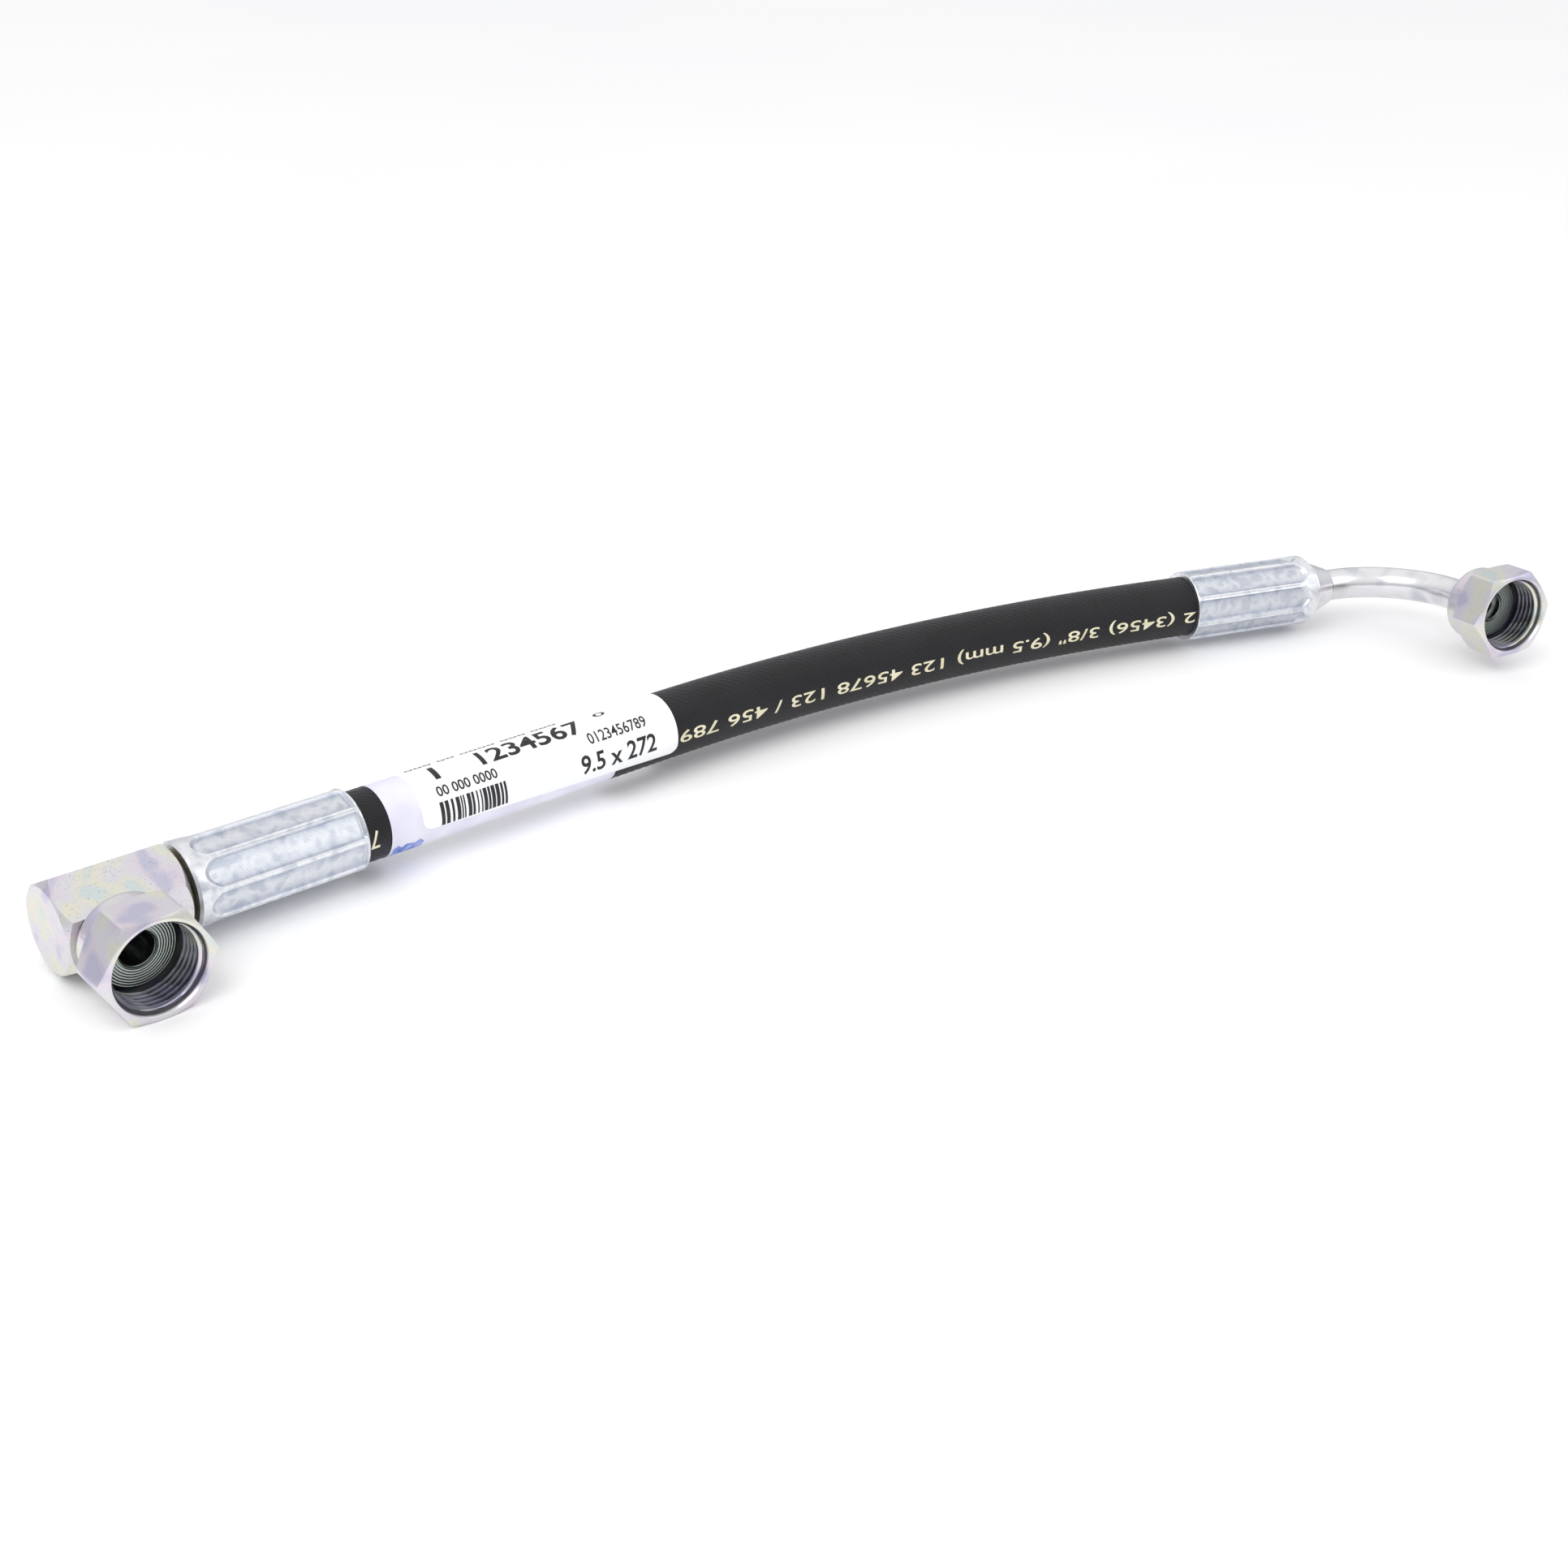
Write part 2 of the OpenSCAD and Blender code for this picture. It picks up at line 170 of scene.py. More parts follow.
def skin(name: str, points: Array, close_rows: bool = True, uv: tuple[Array, Array] | None = None,
         mask: Array | None = None) -> Object:
    """A mesh over a grid of points that closes round its columns, with its faces turned outwards.

    The enclosed volume is the sum over the faces of v0 . (v1 x v2) / 6. Where it comes out negative, every
    face is turned over.

    Args:
        name: The piece's name.
        points: Rows by columns by 3, in millimetres.
        close_rows: Whether the last row joins the first.
        uv: The u of each row and the v of each column, with one value more where they close.
        mask: A value from 0 to 1 for each point, which a finish can read as the attribute "mask".

    Returns:
        The new object.
    """
    rows, cols = points.shape[:2]
    i, j = np.meshgrid(np.arange(rows if close_rows else rows - 1), np.arange(cols), indexing="ij")
    corner_i = np.stack([i, i, i + 1, i + 1], -1).reshape(-1, 4)
    corner_j = np.stack([j, j + 1, j + 1, j], -1).reshape(-1, 4)
    flat = points.reshape(-1, 3) * MM
    index = (corner_i % rows) * cols + corner_j % cols
    a, b, c, d = (flat[index[:, k]] for k in range(4))
    if np.einsum("ij,ij->", a, np.cross(b, c) + np.cross(c, d)) < 0:
        index, corner_i, corner_j = index[:, ::-1], corner_i[:, ::-1], corner_j[:, ::-1]
    mesh = bpy.data.meshes.new(name)
    mesh.from_pydata(flat.tolist(), [], index.tolist())
    if uv is not None:
        layer = mesh.uv_layers.new(name="UVMap")
        both = np.stack([uv[0][corner_i], uv[1][corner_j]], -1)
        layer.data.foreach_set("uv", both.astype(np.float32).ravel())
    if mask is not None:
        layer = mesh.attributes.new("mask", "FLOAT", "POINT")
        values = np.broadcast_to(mask, points.shape[:2])
        layer.data.foreach_set("value", values.astype(np.float32).ravel())
    return new_object(name, mesh)


def new_object(name: str, data: bpy.types.ID) -> Object:
    """Links a mesh, curve, light or camera into the scene as an object at the origin.

    Args:
        name: The object's name.
        data: What it holds.

    Returns:
        The new object.
    """
    made = bpy.data.objects.new(name, data)
    bpy.context.scene.collection.objects.link(made)
    return made


def weld(piece: Object, distance: float = 1e-7) -> None:
    """Merges a piece's doubled vertices, which closes rows that were drawn together.

    Args:
        piece: The object.
        distance: How near two vertices must be, in metres.
    """
    bm = bmesh.new()
    bm.from_mesh(piece.data)
    bmesh.ops.remove_doubles(bm, verts=bm.verts, dist=distance)
    bmesh.ops.dissolve_degenerate(bm, edges=bm.edges, dist=distance)
    bm.to_mesh(piece.data)
    bm.free()


def join(name: str, parts: list[Object]) -> Object:
    """Several objects at the origin as one, by putting their meshes into one mesh.

    Args:
        name: The new object's name.
        parts: The objects, which are used up.

    Returns:
        The new object.
    """
    bm = bmesh.new()
    for part in parts:
        bm.from_mesh(part.data)
        bpy.data.objects.remove(part)
    mesh = bpy.data.meshes.new(name)
    bm.to_mesh(mesh)
    bm.free()
    return new_object(name, mesh)


def corners(mesh: Mesh) -> Array:
    """Where a mesh's vertices are.

    Args:
        mesh: The mesh.

    Returns:
        One row of x, y and z for each vertex.
    """
    flat = np.zeros(len(mesh.vertices) * 3)
    mesh.vertices.foreach_get("co", flat)
    return flat.reshape(-1, 3)


def shade(piece: Object, sharp_degrees: float = 32) -> None:
    """Shades a piece smooth, apart from edges that turn by more than an angle."""
    piece.data.shade_smooth()
    piece.data.set_sharp_from_angle(angle=math.radians(sharp_degrees))


# ---- finishes ----


def linear(hex_colour: str) -> tuple[float, float, float, float]:
    """An sRGB hex colour as linear RGBA, by the sRGB curve."""
    channels = [int(hex_colour[k : k + 2], 16) / 255 for k in (1, 3, 5)]
    return (*(c / 12.92 if c <= 0.04045 else ((c + 0.055) / 1.055) ** 2.4 for c in channels), 1.0)


def add(tree: Tree, kind: str, inputs: dict | None = None, **settings: object) -> Node:
    """Adds a node with its settings, its input values and its links.

    Args:
        tree: The node tree.
        kind: The node's type name.
        inputs: Input name or number to a value, or to an output socket that it is linked from.
        **settings: The node's own properties.

    Returns:
        The new node.
    """
    node = tree.nodes.new(kind)
    for key, value in settings.items():
        setattr(node, key, value)
    for key, value in (inputs or {}).items():
        if isinstance(value, Socket):
            tree.links.new(value, node.inputs[key])
        else:
            node.inputs[key].default_value = value
    return node


def ramp(tree: Tree, factor: Socket, stops: dict[float, str]) -> Socket:
    """A colour ramp.

    Args:
        tree: The node tree.
        factor: What it reads, from 0 to 1.
        stops: Position to sRGB hex colour.

    Returns:
        Its colour.
    """
    node = add(tree, "ShaderNodeValToRGB", {"Fac": factor})
    elements = node.color_ramp.elements
    while len(elements) < len(stops):
        elements.new(0.5)
    for element, (position, colour) in zip(elements, sorted(stops.items())):
        element.position = position
        element.color = linear(colour)
    return node.outputs["Color"]


@dataclass(frozen=True, kw_only=True)
class Finish:
    """What every finish has: its name, its shader's values and the sizes of its patterns."""

    name: str
    roughness: float
    metallic: float = 0.0
    drift_mm: float = 4.0  # size of the patches of colour
    grain_mm: float = 0.35  # size of the finest grains
    bump: float = 0.1  # height of the bump over the size of its grains
    gloss: float = 0.5  # specular level, below 0.5 on a surface that soaks up light in its pores

    def start(self) -> tuple[Material, Tree, Node]:
        """A new material with an empty tree that ends in a Principled shader.

        Returns:
            The material, its node tree and the shader.
        """
        material = bpy.data.materials.new(self.name)
        material.use_nodes = True
        tree = material.node_tree
        tree.nodes.clear()
        shader = add(tree, "ShaderNodeBsdfPrincipled", {
            "Metallic": self.metallic, "Roughness": self.roughness, "Specular IOR Level": self.gloss})
        add(tree, "ShaderNodeOutputMaterial", {"Surface": shader.outputs[0]})
        return material, tree, shader

    def noise(self, tree: Tree, where: Socket, size_mm: float, detail: float = 2.0) -> Socket:
        """Noise on coordinates in metres.

        Args:
            tree: The node tree.
            where: The coordinates.
            size_mm: About how far across its blobs are.
            detail: How many finer layers it has.

        Returns:
            The noise, from 0 to 1.
        """
        scale = 1 / (size_mm * MM)
        node = add(tree, "ShaderNodeTexNoise", {"Vector": where, "Scale": scale, "Detail": detail})
        return node.outputs["Fac"]

    def bumped(self, tree: Tree, shader: Node, height: Socket, depth_mm: float,
               before: Node | None = None) -> Node:
        """Puts a bump into the shader.

        Args:
            tree: The node tree.
            shader: The Principled shader.
            height: The pattern of the bump, from 0 to 1.
            depth_mm: Its height from 0 to 1.
            before: An earlier bump that this one lies on.

        Returns:
            The bump's node.
        """
        inputs = {"Height": height, "Distance": depth_mm * MM, "Strength": 1.0}
        if before is not None:
            inputs["Normal"] = before.outputs["Normal"]
        node = add(tree, "ShaderNodeBump", inputs)
        tree.links.new(node.outputs["Normal"], shader.inputs["Normal"])
        return node

    def make(self) -> Material:
        """The material, which each kind of finish makes in its own way."""
        raise NotImplementedError


@dataclass(frozen=True, kw_only=True)
class TwoTone(Finish):
    """A plain finish: one colour that drifts into another, and a fine bump."""

    colour: str
    colour_b: str

    def make(self) -> Material:
        """The material: noise mixes the two colours, and finer noise is the bump.

        Returns:
            The new material.
        """
        material, tree, shader = self.start()
        where = add(tree, "ShaderNodeTexCoord").outputs["Object"]
        drift = self.noise(tree, where, self.drift_mm)
        tint = ramp(tree, drift, {0.35: self.colour, 0.65: self.colour_b})
        tree.links.new(tint, shader.inputs["Base Color"])
        self.bumped(tree, shader, self.noise(tree, where, self.grain_mm), self.bump * self.grain_mm)
        return material


@dataclass(frozen=True, kw_only=True)
class ZincPlate(Finish):
    """Zinc electroplate with a clear passivation film, whose thickness drifts over a few millimetres.

    The film gives the pale metal faint lavender, pink, straw and sea-green patches, and the plating bath
    leaves dark pinholes about half a millimetre apart.
    """

    metallic: float = 1.0
    tints: tuple[str, ...] = ("#c4c2d5", "#dcd3dc", "#d9d8dc", "#e0dccd", "#cfd8d7")
    tint_span: tuple[float, float] = (0.34, 0.68)  # the noise values that the tints spread over
    pinholes: float = 0.35  # how strongly the pinholes darken the metal
    relief: float = 1.6  # size of the bump's grains over that of the pinholes
    # painted_shade is the colour of painted shade, which multiplies the colour where the mesh's mask is 1.
    painted_shade: str | None = None  # multiplies the colour where the mesh's mask is 1

    def make(self) -> Material:
        """The material: film colours times pinholes, times the painted shade colour where the mask is.

        Returns:
            The new material.
        """
        material, tree, shader = self.start()
        where = add(tree, "ShaderNodeTexCoord").outputs["Object"]
        places = np.linspace(*self.tint_span, len(self.tints))
        drift = self.noise(tree, where, self.drift_mm, 1.5)
        film = ramp(tree, drift, dict(zip(places.tolist(), self.tints)))
        speck = ramp(tree, self.noise(tree, where, self.grain_mm, 3.0), {0.30: "#8f8f96", 0.40: "#ffffff"})
        mixed = add(tree, "ShaderNodeMix", {0: self.pinholes, 6: film, 7: speck},
                    data_type="RGBA", blend_type="MULTIPLY")
        if self.painted_shade:
            mask = add(tree, "ShaderNodeAttribute", attribute_name="mask").outputs["Fac"]
            mixed = add(tree, "ShaderNodeMix", {0: mask, 6: mixed.outputs[2], 7: linear(self.painted_shade)},
                        data_type="RGBA", blend_type="MULTIPLY")
        tree.links.new(mixed.outputs[2], shader.inputs["Base Color"])
        grains = self.noise(tree, where, self.grain_mm * self.relief, 3.0)
        self.bumped(tree, shader, grains, self.bump * self.grain_mm)
        return material


@dataclass(frozen=True, kw_only=True)
class TurnedSteel(TwoTone):
    """Face-turned steel: the tool leaves rings one feed apart round the port's axis."""

    place: Place
    metallic: float = 1.0
    feed_mm: float = 0.6  # coarser than a real feed, so that the rings can be seen

    def make(self) -> Material:
        """The material: a wave of rings about z of the port's place is both its tint and its bump.

        Returns:
            The new material.
        """
        material, tree, shader = self.start()
        where = add(tree, "ShaderNodeTexCoord").outputs["Object"]
        turned = add(tree, "ShaderNodeMapping", {"Vector": where}, vector_type="TEXTURE")
        turned.inputs["Location"].default_value = (self.place.origin * MM).tolist()
        turned.inputs["Rotation"].default_value = self.place.euler()
        rings = add(tree, "ShaderNodeTexWave", {
            "Vector": turned.outputs[0], "Scale": WAVE_REPEAT / (self.feed_mm * MM), "Distortion": 0.6,
            "Detail": 2.0, "Detail Scale": 1.4}, wave_type="RINGS", rings_direction="Z")
        tint = ramp(tree, rings.outputs["Fac"], {0.2: self.colour, 0.8: self.colour_b})
        tree.links.new(tint, shader.inputs["Base Color"])
        self.bumped(tree, shader, rings.outputs["Fac"], self.bump * self.feed_mm)
        return material


@dataclass(frozen=True, kw_only=True)
class WrappedRubber(TwoTone):
    """Rubber cover cured under a nylon wrap, which leaves a fine slanting weave on the matt black.

    The u of its UV map runs along the hose and the v round it, both in metres.
    """

    weave_mm: float = 0.8
    slant: float = math.radians(35)

    def make(self) -> Material:
        """The material: two waves at right angles add up to the weave, with finer grain on top.

        Returns:
            The new material.
        """
        material, tree, shader = self.start()
        where = add(tree, "ShaderNodeTexCoord").outputs["UV"]
        slanted = add(tree, "ShaderNodeMapping", {"Vector": where, "Rotation": (0, 0, self.slant)})
        threads = [
            add(tree, "ShaderNodeTexWave", {
                "Vector": slanted.outputs[0], "Scale": WAVE_REPEAT / (self.weave_mm * MM),
                "Distortion": 1.5, "Detail": 2.0}, bands_direction=direction).outputs["Fac"]
            for direction in ("X", "Y")]
        crossed = add(tree, "ShaderNodeMath", {0: threads[0], 1: threads[1]}, operation="ADD")
        drift = self.noise(tree, where, self.drift_mm, 3.0)
        tint = ramp(tree, drift, {0.3: self.colour, 0.7: self.colour_b})
        tree.links.new(tint, shader.inputs["Base Color"])
        first = self.bumped(tree, shader, crossed.outputs[0], self.bump * self.weave_mm)
        self.bumped(tree, shader, self.noise(tree, where, self.grain_mm), self.bump * self.grain_mm, first)
        return material


# Synthetic rubber cured under a wet nylon wrap: near black, with a low sheen that the weave breaks up.
COVER_RUBBER = WrappedRubber(
    name="wrap_cured_rubber", colour="#0e0e11", colour_b="#18181c", roughness=0.34, drift_mm=14,
    grain_mm=0.3, bump=0.08, gloss=0.3)
# Brass-coated steel wire, drawn and braided: a dull yellow-grey gleam.
BRAID_WIRE = TwoTone(
    name="brass_coated_wire", colour="#8f8570", colour_b="#a8a293", roughness=0.35, metallic=1.0,
    grain_mm=0.4)
# Nitrile rubber, extruded: flat dark grey with hardly any shine.
TUBE_RUBBER = TwoTone(name="nitrile_rubber", colour="#141416", colour_b="#1b1b1e", roughness=0.6)
# Transfer ink, pressed on while the cover cures: matt cream that is a little uneven in tone.
CREAM_INK = TwoTone(
    name="cream_transfer_ink", colour="#ebe5c9", colour_b="#ddd6b5", roughness=0.55, grain_mm=0.2)
# Polyester film, rolled: smooth lilac-white with a clear, soft shine.
FILM = TwoTone(
    name="polyester_film", colour="#dedcec", colour_b="#e8e7f3", roughness=0.28, drift_mm=9, grain_mm=1.5,
    bump=0.02)
# Coated paper: a bright even white with a faint satin sheen.
PAPER = TwoTone(
    name="coated_paper", colour="#f6f7f9", colour_b="#fbfbfd", roughness=0.38, drift_mm=12, grain_mm=0.6,
    bump=0.02)
# Thermal transfer ink: soft black, a little duller than the paper.
BLACK_INK = TwoTone(
    name="black_thermal_ink", colour="#101013", colour_b="#1c1c20", roughness=0.5, grain_mm=0.3)
# Blue printing ink on film: broken blue and pale blue, as if half worn off.
BLUE_INK = TwoTone(
    name="blue_film_ink", colour="#3d63c4", colour_b="#a7b6e8", roughness=0.35, drift_mm=2.2, grain_mm=0.5)
# Bright zinc plate on machined steel: clear soft reflections, and painted shade over the bore and the deeper
# threads.
NUT_ZINC = ZincPlate(
    name="bright_zinc_plate", roughness=0.30, drift_mm=10, grain_mm=0.4, bump=0.04, pinholes=0.2,
    painted_shade="#85888e")
# Zinc plate on pressed steel: paler and more mottled, with painted shade over the pressed flats that deepens
# towards the ridges.
FERRULE_ZINC = ZincPlate(
    name="matt_zinc_plate", roughness=0.33, drift_mm=3.4, grain_mm=0.4, bump=0.06,
    tints=("#cfd3db", "#e0e2e7", "#eaebee", "#e3e5e9", "#d3d7df"), pinholes=0.3, painted_shade="#cdd2dd")
# Zinc plate on drawn hexagon bar: satin, with clear film colours and the most pinholes.
BLOCK_ZINC = ZincPlate(
    name="satin_zinc_plate", roughness=0.36, drift_mm=8.0, grain_mm=0.4, bump=0.06, pinholes=0.45)
# Zinc plate on smooth drawn tube: the shiniest of the plated pieces, with long clean highlights.
TUBE_ZINC = ZincPlate(
    name="drawn_tube_zinc", roughness=0.22, drift_mm=9, grain_mm=0.6, bump=0.02,
    tints=("#cfd0d6", "#e6e6e9", "#e9e8ea", "#dcdcdf"), pinholes=0.1)
# Machined steel under oil: dark olive grey, half shiny.
OILED_STEEL = TwoTone(
    name="oiled_steel", colour="#2b2c22", colour_b="#3b3c30", roughness=0.45, metallic=0.8, grain_mm=0.5)
# Braze metal, frozen from the melt: brownish brass, mottled over a millimetre or two.
BRAZE = TwoTone(
    name="braze_metal", colour="#5f5138", colour_b="#857049", roughness=0.4, metallic=1.0, drift_mm=1.5,
    grain_mm=0.3)
# Matt painted board: even white that takes a soft shadow.
WHITE_BOARD = TwoTone(
    name="white_board", colour="#fbfbfc", colour_b="#fdfdfd", roughness=0.9, drift_mm=400, grain_mm=2,
    bump=0.0)


def dress(piece: Object, finish: Finish) -> None:
    """Gives a piece its finish, making the material where it is a new one.

    Args:
        piece: The object.
        finish: What its material is made from.
    """
    material = bpy.data.materials.get(finish.name) or finish.make()
    piece.data.materials.clear()
    piece.data.materials.append(material)
    LOG.info("%s dressed in %s", piece.name, finish.name)


# ---- hose ----


@dataclass(frozen=True)
class HoseRoute:
    """The centre line of the hose: straight, one arc in the plane of the ports, straight again.

    s is the distance along it from the mouth of ferrule A. These lengths repeat those of the part.
    """

    mouth_x: float
    axis_y: float
    free: float = 272.0
    straight_a: float = 92.0
    straight_b: float = 10.0
    bow: float = math.radians(18)
    inside: float = 39.8  # how far the hose reaches into each ferrule

    @property
    def arc(self) -> float:
        """Length of the bow."""
        return self.free - self.straight_a - self.straight_b

    @property
    def radius(self) -> float:
        """Radius of the bow."""
        return self.arc / self.bow

    @property
    def ends(self) -> tuple[float, float]:
        """Where the hose itself starts and ends, inside the ferrules."""
        return -self.inside, self.free + self.inside

    def heading(self, s: Array) -> Array:
        """The angle that the hose has turned through at s."""
        return np.clip((s - self.straight_a) / self.arc, 0, 1) * self.bow

    def centre(self, s: Array) -> Array:
        """Points on the centre line: along X, plus the arc's sine and versine, plus the last straight.

        Args:
            s: Distance from the mouth of ferrule A.

        Returns:
            Points in millimetres of the frame.
        """
        turn = self.heading(s)
        last = np.maximum(s - self.free + self.straight_b, 0)
        first = self.mouth_x + np.minimum(s, self.straight_a)
        x = first + self.radius * np.sin(turn) + last * np.cos(turn)
        y = self.axis_y - self.radius * (1 - np.cos(turn)) - last * np.sin(turn)
        return np.stack([x, y, np.zeros_like(x)], -1)

    def tangent(self, s: Array) -> Array:
        """The direction of the hose at s."""
        turn = self.heading(s)
        return np.stack([np.cos(turn), -np.sin(turn), np.zeros_like(turn)], -1)

    def side(self, s: Array) -> Array:
        """The direction across the hose, in the plane of the bow, on the side of the ports."""
        turn = self.heading(s)
        return np.stack([-np.sin(turn), -np.cos(turn), np.zeros_like(turn)], -1)

    def surface(self, s: Array, angle: Array, radius: Array) -> Array:
        """Points round the hose: centre + radius * (cos angle * side + sin angle * up).

        Args:
            s: Distance from the mouth of ferrule A.
            angle: Angle round the hose, from the side of the ports upwards.
            radius: Distance from the centre line.

        Returns:
            Points in millimetres of the frame.
        """
        s, angle, radius = np.broadcast_arrays(*(np.asarray(v, float) for v in (s, angle, radius)))
        across = np.cos(angle)[..., None] * self.side(s) + np.sin(angle)[..., None] * UP
        return self.centre(s) + radius[..., None] * across


@dataclass
class Hose:
    """The hose: inner tube, wire braid and cover, with the printed line on the cover."""

    route: HoseRoute
    bore_r: float = 4.75
    tube_r: float = 6.55
    braid_r: float = 7.37
    cover_r: float = 8.74
    layer_gap: float = 0.02
    cover_step: float = 0.46  # five rows to each of the wrap's turns
    cover_columns: int = 88
    hidden_step: float = 4.0
    hidden_columns: int = 40
    bore_rows: int = 24
    path_points: int = 90
    ridge_pitch: float = 2.3  # of the wrap's turns
    ridge_height: float = 0.05
    ridge_slant: float = 1.0  # how far a ridge moves along the hose for each millimetre round it
    print_text: str = '2 (3456) 3/8" (9.5 mm) 123 45678 123 / 456 789'
    print_gap: float = 0.6  # from the mouth of ferrule B
    print_length: float = 179.0
    print_height: float = 4.5
    print_weight: float = 0.05
    print_angle: float = math.radians(3)
    lone_figure: tuple[str, float, float] = ("7", 3.2, 2.4)  # text, start and width, by ferrule A
    ink_base: float = 0.035  # above the middle of the wrap's ridges
    ink_t: float = 0.03
    pieces: list[Object] = field(default_factory=list)
    path: list[list[float]] = field(default_factory=list)

    def layer(self, name: str, r_in: float, r_out: float, step: float, around: int,
              ridged: bool = False) -> Object:
        """One layer as a closed tube along the route.

        The outside is at r_out + h * cos(2 pi (s / pitch + turns * angle / 2 pi)) where it is ridged. turns
        is the whole number nearest to 2 pi r_out * slant / pitch, so that the ridges meet round the hose,
        and h fades out inside the ferrules.

        Args:
            name: The piece's name.
            r_in: Inside radius.
            r_out: Outside radius.
            step: Length of a row along the hose.
            around: Columns round the hose.
            ridged: Whether the wrap's turns show on it.

        Returns:
            The tube.
        """
        start, end = self.route.ends
        s = np.linspace(start, end, int((end - start) / step) + 1)
        angle = np.arange(around) / around * TURN
        inner_s = np.linspace(end, start, self.bore_rows)
        outer = np.full((len(s), around), r_out)
        if ridged:
            turns = round(TURN * r_out * self.ridge_slant / self.ridge_pitch)
            phase = s[:, None] / self.ridge_pitch + turns * angle / TURN
            free = smoothstep(-1, 1, s) * smoothstep(-1, 1, self.route.free - s)
            outer = outer + self.ridge_height * free[:, None] * np.cos(TURN * phase)
        points = np.concatenate([
            self.route.surface(s[:, None], angle, outer),
            self.route.surface(inner_s[:, None], angle, r_in)])
        along = np.concatenate([s, inner_s, s[:1]]) * MM
        piece = skin(name, points, uv=(along, np.arange(around + 1) / around * TURN * r_out * MM))
        shade(piece)
        return piece

    def printed_line(self) -> Object:
        """The cream size marks, which stand on their heads along the side of the ports.

        Returns:
            The marks as one object.
        """
        lines = [(self.print_text, self.route.free - self.print_gap, self.print_length), self.lone_figure]
        marks = [
            Lettering(text, self.print_height, width, self.ink_t, self.print_weight).wrapped(
                self.route, s, self.print_angle, self.cover_r + self.ink_base, upside_down=True)
            for text, s, width in lines]
        return join("hose_size_marks", marks)

    def build(self) -> None:
        """Makes the layers and the printed line along the bowed route between the two ends."""
        hidden = (self.hidden_step, self.hidden_columns)
        cover = self.layer("hose_cover_wrapped", self.braid_r + self.layer_gap, self.cover_r,
                           self.cover_step, self.cover_columns, ridged=True)
        braid = self.layer("hose_braid", self.tube_r + self.layer_gap, self.braid_r, *hidden)
        tube = self.layer("hose_tube", self.bore_r, self.tube_r, *hidden)
        marks = self.printed_line()
        dress(cover, COVER_RUBBER)
        dress(braid, BRAID_WIRE)
        dress(tube, TUBE_RUBBER)
        dress(marks, CREAM_INK)
        bow = np.array([self.route.straight_a, self.route.free - self.route.straight_b])
        bow_start, bow_end = (self.route.centre(bow) * MM).tolist()
        for piece in (cover, braid, tube, marks):
            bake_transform(piece)
        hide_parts("hose_cover")
        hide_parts("hose_wire_braid")
        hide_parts("hose_inner_tube")
        self.pieces = [cover, braid, tube, marks]
        self.path = (self.route.centre(np.linspace(*self.route.ends, self.path_points)) * MM).tolist()


@dataclass(frozen=True)
class Lettering:
    """Generic figures in raised ink, bent round the hose."""

    text: str
    height: float
    width: float
    thickness: float
    weight: float = 0.0
    tall_share: float = 0.68  # tall figures fill this much of the font's size
    curve_steps: int = 3
    slice_height: float = 0.5  # of the bands that let the figures bend
    weld_gap: float = 1e-4

    def flat(self) -> Mesh:
        """The figures as a flat closed mesh in millimetres, sliced fine enough to bend round the hose.

        They are drawn near their size and then stretched to fill their width and height exactly.

        Returns:
            The mesh, with its base line at y = 0 and its start at x = 0.
        """
        curve = bpy.data.curves.new("lettering", "FONT")
        curve.body = self.text
        curve.size = self.height / self.tall_share
        curve.extrude = self.thickness / 2
        curve.offset = self.weight
        curve.resolution_u = self.curve_steps
        holder = new_object("lettering", curve)
        graph = bpy.context.evaluated_depsgraph_get()
        mesh = bpy.data.meshes.new_from_object(holder.evaluated_get(graph))
        bpy.data.objects.remove(holder)
        bpy.data.curves.remove(curve)
        bm = bmesh.new()
        bm.from_mesh(mesh)
        bmesh.ops.remove_doubles(bm, verts=bm.verts, dist=self.weld_gap)
        bm.to_mesh(mesh)
        drawn = corners(mesh)
        low, high = drawn.min(0), drawn.max(0)
        bmesh.ops.translate(bm, verts=bm.verts, vec=(-low[0], -low[1], 0))
        stretch = (self.width / (high[0] - low[0]), self.height / (high[1] - low[1]), 1)
        bmesh.ops.scale(bm, verts=bm.verts, vec=stretch)
        for level in np.arange(self.slice_height / 2, self.height, self.slice_height):
            everything = list(bm.verts) + list(bm.edges) + list(bm.faces)
            bmesh.ops.bisect_plane(bm, geom=everything, plane_co=(0, level, 0), plane_no=(0, 1, 0))
        bm.to_mesh(mesh)
        bm.free()
        return mesh

    def wrapped(self, route: HoseRoute, s: float, angle: float, radius: float,
                upside_down: bool = False) -> Object:
        """The figures laid on the hose: x runs along it, y / radius is an angle, and z adds to the radius.

        Args:
            route: The hose's centre line.
            s: Where the figures start.
            angle: The angle of their base line, or of their middle where they stand on their heads.
            radius: The radius of the surface under them.
            upside_down: Whether they run back towards end A with their tops down.

        Returns:
            The figures as one object.
        """
        mesh = self.flat()
        middle = self.height / 2 if upside_down else 0.0
        way = -1 if upside_down else 1
        x, y, z = corners(mesh).T
        turn = angle + way * (y - middle) / radius
        points = route.surface(s + way * x, turn, radius + self.thickness / 2 + z)
        mesh.vertices.foreach_set("co", (points * MM).ravel())
        mesh.update()
        return new_object("figures", mesh)


@dataclass(frozen=True)
class LabelLine:
    """A line of figures on the paper, from its start along the hose and its base line's angle round it."""

    text: str
    height: float
    width: float
    weight: float
    start: float
    degrees: float


